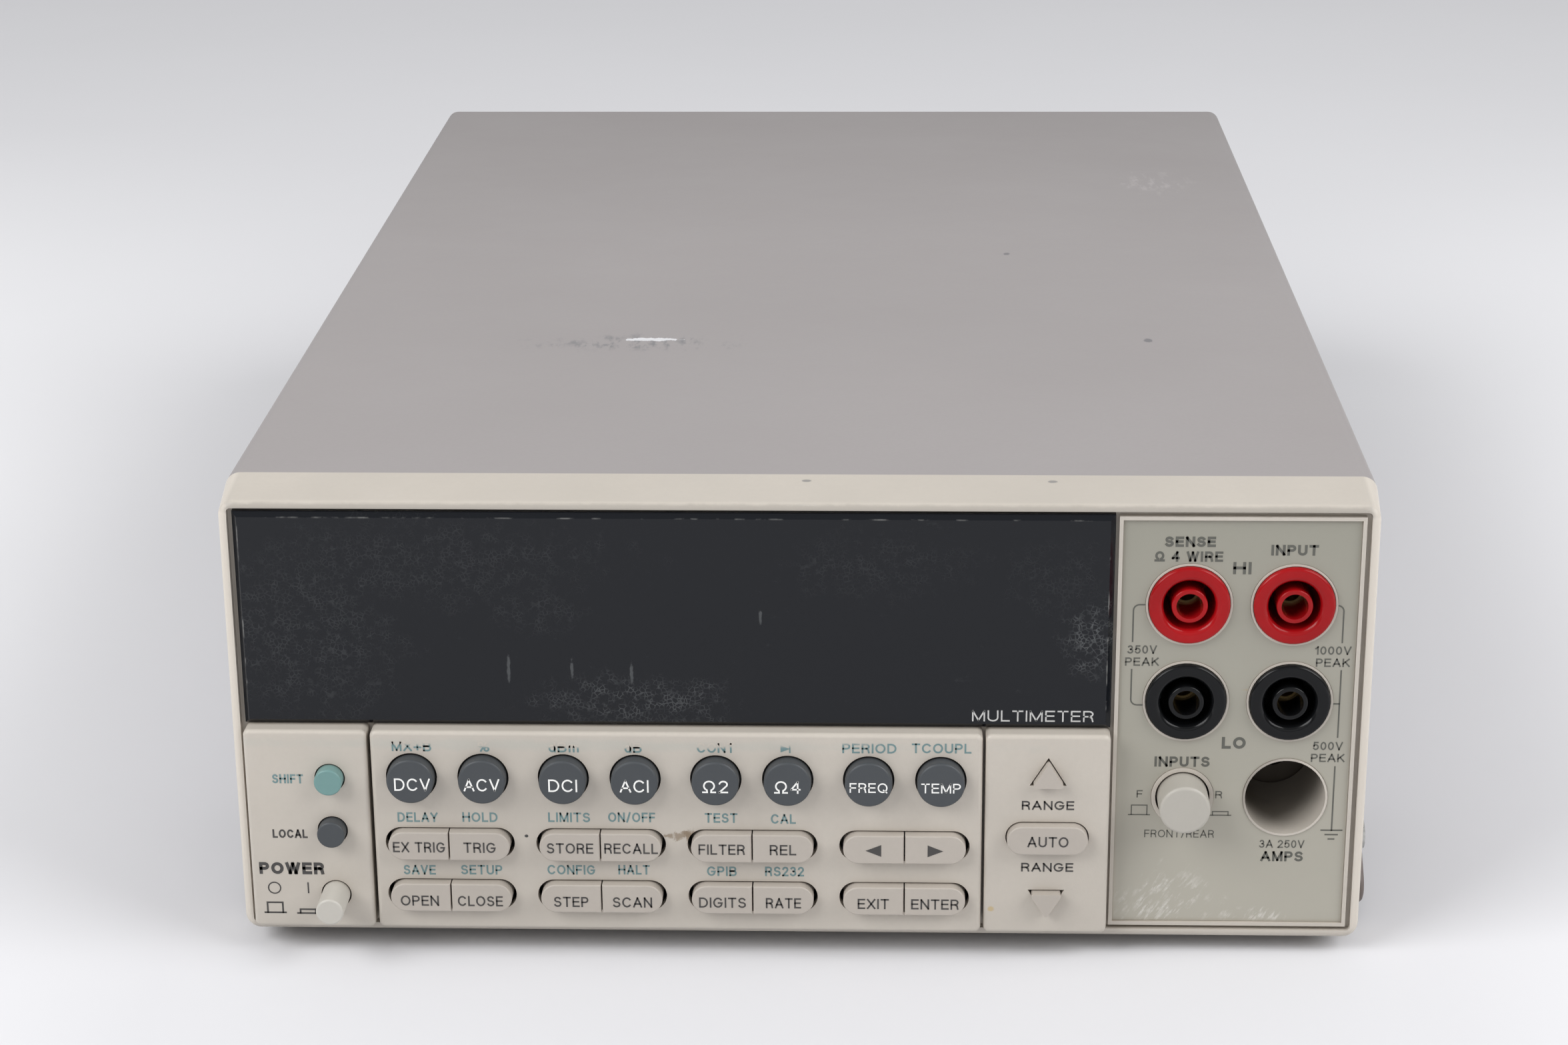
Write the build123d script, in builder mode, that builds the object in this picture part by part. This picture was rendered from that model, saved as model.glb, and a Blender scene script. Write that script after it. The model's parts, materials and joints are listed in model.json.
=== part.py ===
"""Half-rack bench multimeter, as an assembly of separate pieces.

Millimetres, +Z up, standing on its foot pads. +X is to the right of a person facing the keys and
+Y runs from the keys to the rear panel. The origin is on the table, under the middle of the
instrument. Depths are measured from the bezel's front rim, positive into the instrument, and
heights from the underside of the case cover.
"""
import os

from build123d import *

os.makedirs("parts", exist_ok=True)

# ---- driving dimensions -------------------------------------------------------------------------
CASE_WIDTH = 213.0          # half of a 19 inch rack, 8 3/8 inch
CASE_HEIGHT = 88.9          # two rack units, 3 1/2 inch
CASE_CORNER = 3.0
SHEET = 1.2                 # case cover and chassis steel
FOOT_HEIGHT = 2.0

COVER_FRONT = 13.0          # depth of the seam between bezel and cover
COVER_REAR = 325.6
REAR_BEZEL_DEPTH = 24.0

FACE_WIDTH = 210.9          # bezel at its front rim: its sides taper in towards the front
FACE_BOTTOM = 1.4
FACE_TOP = 87.6
RIM_SIDE = 103.9            # half the width of the opening inside the rim
RIM_BOTTOM = 2.9
RIM_TOP = 86.36
RIM_ROUND = 1.2
RIM_CORNER = 0.8
INSET = 1.5                 # depth of the inset wall behind the rim
INSET_BACK = 5.0
BEZEL_WALL = 2.2

PANEL_PROUD = 3.4           # the key sections stand this far in front of the rim
PANEL_LEFT, PANEL_RIGHT = -102.95, 57.85
PANEL_BOTTOM, PANEL_TOP = 3.5, 43.9
PANEL_WALL = 2.2
PANEL_SIDE_WALL = 1.4
PANEL_ROUND = 0.8
PANEL_CORNER = 1.2
LEFT_GROOVE = (-79.95, -79.3)
RIGHT_GROOVE = (34.33, 34.83)

LENS_PROUD = 0.6
LENS_BOTTOM, LENS_TOP = 44.05, 85.8
LENS_BEVEL = 0.95
WINDOW_X, WINDOW_Z = (-94.0, 48.0), (51.0, 79.0)
HOOK_X = (-70.0, 0.0, 45.0)             # snap hooks along the top and the bottom of the bezel
HOOK_Z = (1.9, CASE_HEIGHT - 3.7)
HOOK_WIDTH, HOOK_THICK = 12.0, 1.8
HOOK_DEPTH = (COVER_FRONT - 4, COVER_FRONT + 6)

TERMINAL_LEFT, TERMINAL_RIGHT = 58.5, 103.0
TERMINAL_BOTTOM, TERMINAL_TOP = 3.6, 85.4
TERMINAL_BORDER = 0.7
TERMINAL_FRONT = 0.3        # depth of the raised border around the terminal label
LABEL_SEAT = 1.2
LABEL_THICK = 0.4
LABEL_GAP = 0.05
COLLAR_FRONT = 0.6
COLLAR_WALL = 0.4
INPUTS_COLLAR_WALL = 0.75

JACK_PITCH = 19.05          # banana jack spacing, 3/4 inch
SENSE_X, LOW_Z = 71.62, 49.25
INPUT_X, HIGH_Z = SENSE_X + JACK_PITCH, LOW_Z + JACK_PITCH
SWITCH_Z = 30.0             # height of the fuse bore and of the inputs button
JACK_FLANGE_R = 7.45
JACK_BODY_R = 6.5
JACK_FLANGE = 5.6           # length of the flange along the jack
JACK_PROUD = 0.9            # the jacks stand this far in front of their collars
JACK_GAP = 0.1
JACK_LENGTH = 26.0
JACK_GROOVE = (3.3, 4.75)   # annular groove for a shrouded plug: inner and outer radius
JACK_GROOVE_DEEP = 16.0
JACK_ROUNDS = {             # rounding of each circular edge, by the edge's radius
    JACK_FLANGE_R: 0.6,
    JACK_GROOVE[1]: 1.1,
    JACK_GROOVE[0]: 0.35,
}
JACK_BORE_R = 2.45
JACK_BORE = 8.4             # length of the plastic bore in front of the brass contact
CONTACT_R, CONTACT_BORE_R = 2.8, 2.03
CONTACT_FLOOR = 2.0         # metal left behind the contact's bore
LUG_R, LUG = 0.8, 6.0       # solder lug at the rear of a contact: radius and length
FUSE_BORE_R = 7.45
FUSE_BORE_BACK = 24.0
BORE_WALL = 1.6
FUSE_SOCKET = (19.0, 24.0)  # side of the square socket and how far back it reaches
FUSE_R, FUSE_DEEP = 4.2, 18.0

KEY_TRAVEL = 1.2
KEY_GAP = 0.25              # clearance between a key and its hole
ROUND_GAP = 0.38            # the round keys have wider holes
KEY_FLANGE = 0.9            # the flange behind the wall reaches this far past the cap
FLANGE_THICK = 1.0
STEM_R = 1.9
KEY_BACK = 6.9              # depth of the end of each key's stem
ROUND_R = 4.4
ROUND_PROUD = 2.5
ROUND_EDGE = 0.45
ROUND_Z = 34.75
PAIR_PITCH = 28.35
PAIR_X = [-65.1 + PAIR_PITCH * i for i in range(4)]
ROUND_OFFSET = 6.68
PILL_WIDTH, PILL_HEIGHT = 22.8, 5.7
PILL_HOLE_WIDTH = 24.3      # the pill keys leave a crescent open at each end of their hole
PILL_PROUD = 1.9
PILL_EDGE = 0.25
PILL_SPLIT = 0.25           # gap between the two half keys of a pill
PILL_Z = (21.35, 10.75)
RANGE_X = 46.45
AUTO_Z, AUTO_WIDTH = 23.4, 15.0
TRIANGLE_BASE, TRIANGLE_SIDE = 6.1, 5.8
TRIANGLE_ROUND = 0.4
TRIANGLE_FLANGE_R = 4.2
UP_Z, DOWN_Z = 35.7, 10.7
SMALL_X = -87.1             # shift, local and power share one column
SMALL_R = 2.6
SMALL_PROUD = 2.5
SMALL_EDGE = 0.35
SHIFT_Z, LOCAL_Z, POWER_Z = 34.4, 23.7, 10.5

POWER_PROUD = 8.0
POWER_TRAVEL = 4.5
POWER_ROD_END = 205.0
POWER_CAP_BACK = 2.0        # depth where the round cap meets the square rod
POWER_EDGE = 0.4
INPUTS_R = 4.7
INPUTS_EDGE = 0.6
INPUTS_GAP = 0.35
INPUTS_FRONT = -5.8         # depth of the button's face
INPUTS_TRAVEL = 4.0
INPUTS_ROD_END = 60.0
ROD_SIDE = 4.0
SWITCH_GAP = 0.5            # between a pressed rod's end and its switch

BOARD = 1.6                 # circuit board thickness
DISPLAY_BOARD_FRONT = 11.2
PAD_SHEET = 1.4
DOME_TOP = KEY_BACK + KEY_TRAVEL + 0.3

REAR_END = COVER_REAR + REAR_BEZEL_DEPTH
FRONT_END = -(PANEL_PROUD + POWER_PROUD)
FRONT = -(REAR_END + FRONT_END) / 2      # world Y of the front rim, so that the origin is central


def facing(depth):
    """Sketch plane at a depth, looking at the keys: its x is +X, its y is height on the case."""
    return Plane(origin=(0, FRONT + depth, FOOT_HEIGHT), x_dir=(1, 0, 0), z_dir=(0, -1, 0))


def at(x, depth, height):
    """World position of a point given by its depth and its height on the case."""
    return (x, FRONT + depth, FOOT_HEIGHT + height)


def block(x_span, depth_span, height_span, mode=Mode.ADD):
    """Box between two values along each direction, for the part being built."""
    size = [span[1] - span[0] for span in (x_span, depth_span, height_span)]
    middle = [(span[0] + span[1]) / 2 for span in (x_span, depth_span, height_span)]
    with Locations(at(*middle)):
        Box(*size, mode=mode)


# ---- key layout ---------------------------------------------------------------------------------
round_names = ["dcv", "acv", "dci", "aci", "ohms2", "ohms4", "freq", "temp"]
round_x = [x + side * ROUND_OFFSET for x in PAIR_X for side in (-1, 1)]
pill_names = [
    ["ex_trig", "trig", "store", "recall", "filter", "rel", "cursor_left", "cursor_right"],
    ["open", "close", "step", "scan", "digits", "rate", "exit", "enter"],
]
key_places = [(x, ROUND_Z) for x in round_x]
key_places += [(x + side * PILL_WIDTH / 4, z) for z in PILL_Z for x in PAIR_X for side in (-1, 1)]
key_places += [(RANGE_X, UP_Z), (RANGE_X, AUTO_Z), (RANGE_X, DOWN_Z)]
key_places += [(SMALL_X, SHIFT_Z), (SMALL_X, LOCAL_Z)]

sections = [
    (PANEL_LEFT, LEFT_GROOVE[0]),
    (LEFT_GROOVE[1], RIGHT_GROOVE[0]),
    (RIGHT_GROOVE[1], PANEL_RIGHT),
]
jack_places = {
    "red": [(SENSE_X, HIGH_Z), (INPUT_X, HIGH_Z)],
    "black": [(SENSE_X, LOW_Z), (INPUT_X, LOW_Z)],
}
front_jacks = jack_places["red"] + jack_places["black"]
panel_mid_z = (PANEL_BOTTOM + PANEL_TOP) / 2
panel_height = PANEL_TOP - PANEL_BOTTOM
terminal_mid = ((TERMINAL_LEFT + TERMINAL_RIGHT) / 2, (TERMINAL_BOTTOM + TERMINAL_TOP) / 2)
terminal_size = (TERMINAL_RIGHT - TERMINAL_LEFT, TERMINAL_TOP - TERMINAL_BOTTOM)
label_size = (terminal_size[0] - 2 * TERMINAL_BORDER, terminal_size[1] - 2 * TERMINAL_BORDER)

# raised collars that come through the terminal label: x, z, hole radius, wall
collars = [(x, z, JACK_FLANGE_R + JACK_GAP, COLLAR_WALL) for x, z in front_jacks]
collars += [
    (INPUT_X, SWITCH_Z, FUSE_BORE_R, COLLAR_WALL),
    (SENSE_X, SWITCH_Z, INPUTS_R + INPUTS_GAP, INPUTS_COLLAR_WALL),
]

# ---- front bezel: one moulding with rim, inset wall, key sections and terminal frame ------------
with BuildPart() as front_bezel:
    with BuildSketch(facing(0)):
        with Locations((0, (FACE_BOTTOM + FACE_TOP) / 2)):
            RectangleRounded(FACE_WIDTH, FACE_TOP - FACE_BOTTOM, CASE_CORNER)
    with BuildSketch(facing(COVER_FRONT)):
        with Locations((0, CASE_HEIGHT / 2)):
            RectangleRounded(CASE_WIDTH, CASE_HEIGHT, CASE_CORNER)
    loft()
    fillet(front_bezel.faces().sort_by(Axis.Y)[0].edges(), RIM_ROUND)
    # opening inside the rim
    with BuildSketch(facing(0)):
        with Locations((0, (RIM_BOTTOM + RIM_TOP) / 2)):
            RectangleRounded(2 * RIM_SIDE, RIM_TOP - RIM_BOTTOM, RIM_CORNER)
    extrude(amount=-INSET, mode=Mode.SUBTRACT)
    # hollow back
    with BuildSketch(facing(COVER_FRONT)):
        with Locations((0, CASE_HEIGHT / 2)):
            RectangleRounded(CASE_WIDTH - 2 * BEZEL_WALL, CASE_HEIGHT - 2 * BEZEL_WALL, CASE_CORNER / 2)
    extrude(amount=COVER_FRONT - INSET_BACK, mode=Mode.SUBTRACT)
    # three raised key sections
    with BuildSketch(facing(INSET)):
        for left, right in sections:
            with Locations(((left + right) / 2, panel_mid_z)):
                RectangleRounded(right - left, panel_height, PANEL_CORNER)
    extrude(amount=INSET + PANEL_PROUD)
    fillet(front_bezel.faces().group_by(Axis.Y)[0].edges(), PANEL_ROUND)
    with BuildSketch(facing(INSET_BACK)):
        for left, right in sections:
            with Locations(((left + right) / 2, panel_mid_z)):
                Rectangle(right - left - 2 * PANEL_SIDE_WALL, panel_height - 2 * PANEL_SIDE_WALL)
    extrude(amount=INSET_BACK + PANEL_PROUD - PANEL_WALL, mode=Mode.SUBTRACT)
    # terminal frame: a raised border with a seat for the label
    with BuildSketch(facing(INSET)):
        with Locations(terminal_mid):
            Rectangle(*terminal_size)
    extrude(amount=INSET - TERMINAL_FRONT)
    with BuildSketch(facing(TERMINAL_FRONT)):
        with Locations(terminal_mid):
            Rectangle(*label_size)
    extrude(amount=TERMINAL_FRONT - LABEL_SEAT, mode=Mode.SUBTRACT)
    # collars around the jacks, the fuse bore and the inputs button
    with BuildSketch(facing(LABEL_SEAT)):
        for x, z, radius, wall in collars:
            with Locations((x, z)):
                Circle(radius + wall)
    extrude(amount=LABEL_SEAT - COLLAR_FRONT)
    with BuildSketch(facing(INSET_BACK)):
        with Locations((INPUT_X, SWITCH_Z)):
            Circle(FUSE_BORE_R + BORE_WALL)
    extrude(amount=INSET_BACK - FUSE_BORE_BACK)
    with BuildSketch(facing(INSET_BACK)):
        with Locations((SENSE_X, SWITCH_Z)):
            Circle(INPUTS_R + INPUTS_GAP + BORE_WALL)
    extrude(amount=INSET_BACK - COVER_FRONT)
    for x, z, radius, _ in collars:
        with Locations(at(x, COVER_FRONT, z)):
            Cylinder(radius, 2 * COVER_FRONT, rotation=(90, 0, 0), mode=Mode.SUBTRACT)
    with Locations(at(INPUT_X, FUSE_BORE_BACK / 2 + 1, SWITCH_Z)):
        Cylinder(FUSE_BORE_R, FUSE_BORE_BACK + 4, rotation=(90, 0, 0), mode=Mode.SUBTRACT)
    # key holes
    hole_side = TRIANGLE_SIDE + 3 * KEY_GAP
    with BuildSketch(facing(-PANEL_PROUD)):
        for x in round_x:
            with Locations((x, ROUND_Z)):
                Circle(ROUND_R + ROUND_GAP)
        for z in PILL_Z:
            for x in PAIR_X:
                with Locations((x, z)):
                    SlotOverall(PILL_HOLE_WIDTH, PILL_HEIGHT + 2 * KEY_GAP)
        with Locations((RANGE_X, AUTO_Z)):
            SlotOverall(AUTO_WIDTH + 2 * KEY_GAP, PILL_HEIGHT + 2 * KEY_GAP)
        for z, turn in ((UP_Z, 0), (DOWN_Z, 180)):
            with Locations((RANGE_X, z)):
                Triangle(a=TRIANGLE_BASE + 3 * KEY_GAP, b=hole_side, c=hole_side, rotation=turn)
        for z in (SHIFT_Z, LOCAL_Z, POWER_Z):
            with Locations((SMALL_X, z)):
                Circle(SMALL_R + KEY_GAP)
    extrude(amount=-PANEL_WALL, mode=Mode.SUBTRACT)
    # window in front of the display tube
    block(WINDOW_X, (INSET, INSET_BACK), WINDOW_Z, mode=Mode.SUBTRACT)
    # snap hooks that reach into the case
    for x in HOOK_X:
        for low in HOOK_Z:
            block((x - HOOK_WIDTH / 2, x + HOOK_WIDTH / 2), HOOK_DEPTH, (low, low + HOOK_THICK))
front_bezel.part.label = "front_bezel"
export_step(front_bezel.part, "parts/front_bezel.step")

# ---- front trim ---------------------------------------------------------------------------------
with BuildPart() as display_lens:
    block((PANEL_LEFT, PANEL_RIGHT), (-LENS_PROUD, INSET), (LENS_BOTTOM, LENS_TOP))
    chamfer(display_lens.faces().sort_by(Axis.Y)[0].edges(), LENS_BEVEL)
display_lens.part.label = "display_lens"
export_step(display_lens.part, "parts/display_lens.step")

with BuildPart() as terminal_label:
    with BuildSketch(facing(LABEL_SEAT)):
        with Locations(terminal_mid):
            Rectangle(label_size[0] - 2 * LABEL_GAP, label_size[1] - 2 * LABEL_GAP)
        for x, z, radius, wall in collars:
            with Locations((x, z)):
                Circle(radius + wall + LABEL_GAP, mode=Mode.SUBTRACT)
    extrude(amount=LABEL_THICK)
terminal_label.part.label = "terminal_label"
export_step(terminal_label.part, "parts/terminal_label.step")

# ---- keys: cap, retaining flange behind the bezel wall, and a stem towards the switch dome -------
flange_front = PANEL_WALL - PANEL_PROUD + 0.2      # a little clear of the wall


def add_stem(x, z):
    """Flange-to-dome stem of the key being built."""
    with Locations(at(x, (flange_front + KEY_BACK) / 2, z)):
        Cylinder(STEM_R, KEY_BACK - flange_front, rotation=(90, 0, 0))


for name, x in zip(round_names, round_x):
    with BuildPart() as round_key:
        with BuildSketch(facing(flange_front)):
            with Locations((x, ROUND_Z)):
                Circle(ROUND_R)
        extrude(amount=flange_front + PANEL_PROUD + ROUND_PROUD)
        fillet(round_key.faces().sort_by(Axis.Y)[0].edges(), ROUND_EDGE)
        with BuildSketch(facing(flange_front)):
            with Locations((x, ROUND_Z)):
                Circle(ROUND_R + KEY_FLANGE)
        extrude(amount=-FLANGE_THICK)
        add_stem(x, ROUND_Z)
    round_key.part.label = f"{name}_key"
    export_step(round_key.part, f"parts/{name}_key.step")

for names, z in zip(pill_names, PILL_Z):
    for index, name in enumerate(names):
        middle = PAIR_X[index // 2]
        side = 1 if index % 2 else -1
        inner = middle + side * PILL_SPLIT / 2
        outer = middle + side * PILL_WIDTH
        with BuildPart() as half_key:
            with BuildSketch(facing(flange_front)):
                with Locations((middle, z)):
                    SlotOverall(PILL_WIDTH, PILL_HEIGHT)
                with Locations(((inner + outer) / 2, z)):
                    Rectangle(abs(outer - inner), 2 * PILL_HEIGHT, mode=Mode.INTERSECT)
            extrude(amount=flange_front + PANEL_PROUD + PILL_PROUD)
            fillet(half_key.faces().sort_by(Axis.Y)[0].edges(), PILL_EDGE)
            with BuildSketch(facing(flange_front)):
                with Locations((middle, z)):
                    SlotOverall(PILL_WIDTH, PILL_HEIGHT + 2 * KEY_FLANGE)
                with Locations(((inner + outer) / 2, z)):
                    Rectangle(abs(outer - inner), 2 * PILL_HEIGHT, mode=Mode.INTERSECT)
            extrude(amount=-FLANGE_THICK)
            add_stem(middle + side * PILL_WIDTH / 4, z)
        half_key.part.label = f"{name}_key"
        export_step(half_key.part, f"parts/{name}_key.step")

with BuildPart() as auto_key:
    with BuildSketch(facing(flange_front)):
        with Locations((RANGE_X, AUTO_Z)):
            SlotOverall(AUTO_WIDTH, PILL_HEIGHT)
    extrude(amount=flange_front + PANEL_PROUD + PILL_PROUD)
    fillet(auto_key.faces().sort_by(Axis.Y)[0].edges(), PILL_EDGE)
    with BuildSketch(facing(flange_front)):
        with Locations((RANGE_X, AUTO_Z)):
            SlotOverall(AUTO_WIDTH + 2 * KEY_FLANGE, PILL_HEIGHT + 2 * KEY_FLANGE)
    extrude(amount=-FLANGE_THICK)
    add_stem(RANGE_X, AUTO_Z)
auto_key.part.label = "auto_key"
export_step(auto_key.part, "parts/auto_key.step")

for name, z, turn in (("range_up", UP_Z, 0), ("range_down", DOWN_Z, 180)):
    with BuildPart() as arrow_key:
        with BuildSketch(facing(flange_front)):
            with Locations((RANGE_X, z)):
                Triangle(a=TRIANGLE_BASE, b=TRIANGLE_SIDE, c=TRIANGLE_SIDE, rotation=turn)
        extrude(amount=flange_front + PANEL_PROUD + PILL_PROUD)
        fillet(arrow_key.edges().filter_by(Axis.Y), TRIANGLE_ROUND)
        with BuildSketch(facing(flange_front)):
            with Locations((RANGE_X, z)):
                Circle(TRIANGLE_FLANGE_R)
        extrude(amount=-FLANGE_THICK)
        add_stem(RANGE_X, z)
    arrow_key.part.label = f"{name}_key"
    export_step(arrow_key.part, f"parts/{name}_key.step")

for name, z in (("shift", SHIFT_Z), ("local", LOCAL_Z)):
    with BuildPart() as small_key:
        with BuildSketch(facing(flange_front)):
            with Locations((SMALL_X, z)):
                Circle(SMALL_R)
        extrude(amount=flange_front + PANEL_PROUD + SMALL_PROUD)
        fillet(small_key.faces().sort_by(Axis.Y)[0].edges(), SMALL_EDGE)
        with BuildSketch(facing(flange_front)):
            with Locations((SMALL_X, z)):
                Circle(SMALL_R + KEY_FLANGE)
        extrude(amount=-FLANGE_THICK)
        add_stem(SMALL_X, z)
    small_key.part.label = f"{name}_key"
    export_step(small_key.part, f"parts/{name}_key.step")

# ---- push rods: button in front, square rod to its latching switch ------------------------------
with BuildPart() as power_pushrod:
    with BuildSketch(facing(POWER_CAP_BACK)):
        with Locations((SMALL_X, POWER_Z)):
            Circle(SMALL_R)
    extrude(amount=POWER_CAP_BACK + PANEL_PROUD + POWER_PROUD)
    fillet(power_pushrod.faces().sort_by(Axis.Y)[0].edges(), POWER_EDGE)
    block(
        (SMALL_X - ROD_SIDE / 2, SMALL_X + ROD_SIDE / 2), (POWER_CAP_BACK, POWER_ROD_END),
        (POWER_Z - ROD_SIDE / 2, POWER_Z + ROD_SIDE / 2),
    )
power_pushrod.part.label = "power_pushrod"
export_step(power_pushrod.part, "parts/power_pushrod.step")

with BuildPart() as inputs_pushrod:
    with BuildSketch(facing(COVER_FRONT)):
        with Locations((SENSE_X, SWITCH_Z)):
            Circle(INPUTS_R)
    extrude(amount=COVER_FRONT - INPUTS_FRONT)
    fillet(inputs_pushrod.faces().sort_by(Axis.Y)[0].edges(), INPUTS_EDGE)
    block(
        (SENSE_X - ROD_SIDE / 2, SENSE_X + ROD_SIDE / 2), (COVER_FRONT, INPUTS_ROD_END),
        (SWITCH_Z - ROD_SIDE / 2, SWITCH_Z + ROD_SIDE / 2),
    )
inputs_pushrod.part.label = "inputs_pushrod"
export_step(inputs_pushrod.part, "parts/inputs_pushrod.step")

# ---- banana jacks: the same part at the front and at the rear ------------------------------------
REAR_JACK_SHIFT = (2.0, 6.0)            # the rear jacks sit this far inwards and lower
rear_jack_x = (INPUT_X - REAR_JACK_SHIFT[0], SENSE_X - REAR_JACK_SHIFT[0])
rear_jack_z = (LOW_Z - REAR_JACK_SHIFT[1], HIGH_Z - REAR_JACK_SHIFT[1])
front_jack_face = COLLAR_FRONT - JACK_PROUD
rear_jack_face = COVER_REAR + JACK_FLANGE


def jack_planes(front_height, rear_height):
    """Planes of a colour's four jacks, each with z out of its mouth: two front, two rear."""
    fronts = [
        Plane(origin=at(x, front_jack_face, front_height), x_dir=(1, 0, 0), z_dir=(0, -1, 0))
        for x in (SENSE_X, INPUT_X)
    ]
    rears = [
        Plane(origin=at(x, rear_jack_face, rear_height), x_dir=(-1, 0, 0), z_dir=(0, 1, 0))
        for x in rear_jack_x
    ]
    return fronts + rears


def at_mouth(edge, radius, planes):
    """Whether an edge is the circle of this radius on the face of a jack."""
    flush = any(abs(plane.to_local_coords(edge.center()).Z) < 0.01 for plane in planes)
    return flush and abs(edge.radius - radius) < 0.01


jack_sets = {
    "red": jack_planes(HIGH_Z, rear_jack_z[1]),
    "black": jack_planes(LOW_Z, rear_jack_z[0]),
}

for colour, planes in jack_sets.items():
    with BuildPart() as jacks:
        with BuildSketch(*planes):
            Circle(JACK_BODY_R)
        extrude(amount=-JACK_LENGTH)
        with BuildSketch(*planes):
            Circle(JACK_FLANGE_R)
        extrude(amount=-JACK_FLANGE)
        with BuildSketch(*planes):
            Circle(JACK_GROOVE[1])
            Circle(JACK_GROOVE[0], mode=Mode.SUBTRACT)
        extrude(amount=-JACK_GROOVE_DEEP, mode=Mode.SUBTRACT)
        for radius, rounding in JACK_ROUNDS.items():
            circles = jacks.edges().filter_by(GeomType.CIRCLE)
            fillet([edge for edge in circles if at_mouth(edge, radius, planes)], rounding)
        with BuildSketch(*planes):
            Circle(JACK_BORE_R)
        extrude(amount=-JACK_BORE, mode=Mode.SUBTRACT)
        with BuildSketch(*[plane.offset(-JACK_BORE) for plane in planes]):
            Circle(CONTACT_R)
        extrude(amount=JACK_BORE - JACK_LENGTH, mode=Mode.SUBTRACT)
    jacks.part.label = f"{colour}_jacks"
    export_step(jacks.part, f"parts/{colour}_jacks.step")

with BuildPart() as jack_contacts:
    contact_planes = [plane.offset(-JACK_BORE) for planes in jack_sets.values() for plane in planes]
    with BuildSketch(*contact_planes):
        Circle(CONTACT_R)
    extrude(amount=JACK_BORE - JACK_LENGTH)
    with BuildSketch(*contact_planes):
        Circle(LUG_R)
    extrude(amount=JACK_BORE - JACK_LENGTH - LUG)
    with BuildSketch(*contact_planes):
        Circle(CONTACT_BORE_R)
    extrude(amount=JACK_BORE - JACK_LENGTH + CONTACT_FLOOR, mode=Mode.SUBTRACT)
jack_contacts.part.label = "jack_contacts"
export_step(jack_contacts.part, "parts/jack_contacts.step")

with BuildPart() as amps_fuse_socket:
    socket_depth = (FUSE_BORE_BACK + 1, FUSE_BORE_BACK + FUSE_SOCKET[1])
    half = FUSE_SOCKET[0] / 2
    block((INPUT_X - half, INPUT_X + half), socket_depth, (SWITCH_Z - half, SWITCH_Z + half))
    with Locations(at(INPUT_X, socket_depth[0] + FUSE_DEEP / 2, SWITCH_Z)):
        Cylinder(FUSE_R, FUSE_DEEP, rotation=(90, 0, 0), mode=Mode.SUBTRACT)
amps_fuse_socket.part.label = "amps_fuse_socket"
export_step(amps_fuse_socket.part, "parts/amps_fuse_socket.step")

# ---- case cover: folded sleeve that slides off over the chassis ----------------------------------
EAR_SCREW = (30.0, 9.0)                 # depth and height of each mounting ear's screw
GROUND_SCREWS = [(-60.0, 300.0), (60.0, 300.0)]
SCREW_HOLE_R = 1.65

with BuildPart() as case_cover:
    with BuildSketch(facing(COVER_FRONT)):
        with Locations((0, CASE_HEIGHT / 2)):
            RectangleRounded(CASE_WIDTH, CASE_HEIGHT, CASE_CORNER)
            RectangleRounded(
                CASE_WIDTH - 2 * SHEET, CASE_HEIGHT - 2 * SHEET, CASE_CORNER - SHEET,
                mode=Mode.SUBTRACT,
            )
    extrude(amount=COVER_FRONT - COVER_REAR)
    with Locations(at(0, *EAR_SCREW)):
        Cylinder(SCREW_HOLE_R, CASE_WIDTH + 2, rotation=(0, 90, 0), mode=Mode.SUBTRACT)
    for x, depth in GROUND_SCREWS:
        with Locations(at(x, depth, 0)):
            Cylinder(SCREW_HOLE_R, 4, mode=Mode.SUBTRACT)
case_cover.part.label = "case_cover"
export_step(case_cover.part, "parts/case_cover.step")

# ---- chassis: tray with side flanges, and a rear panel of two sheets --------------------------------
CHASSIS_SIDE = 104.6
CHASSIS_BOTTOM = 1.6
CHASSIS_FRONT = COVER_FRONT + 8
REAR_PANEL_TOP = 87.2
MAINS_EDGE = -52.0                      # the mains inlet has the sheet to the left of this seam
SHEET_GAP = 0.1
FLANGE_HEIGHT = 20.0
RING_SCREWS = [(-91.0, 13.0), (91.0, 13.0)]
INLET_X, INLET_Z = -68.0, 45.0
INLET_CUT = (27.6, 54.6)
BUS_X, SERIAL_X, LOW_PORT_Z = -18.0, 46.0, 20.0
BUS_CUT, SERIAL_CUT = (54.6, 13.6), (19.6, 10.6)
LINK_X = (10.0, 30.0)
LINK_Z = 42.0
LINK_R = 4.9
SLOT_X, SLOT_Z = 4.0, 64.0
SLOT_CUT = (96.0, 18.0)

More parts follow.
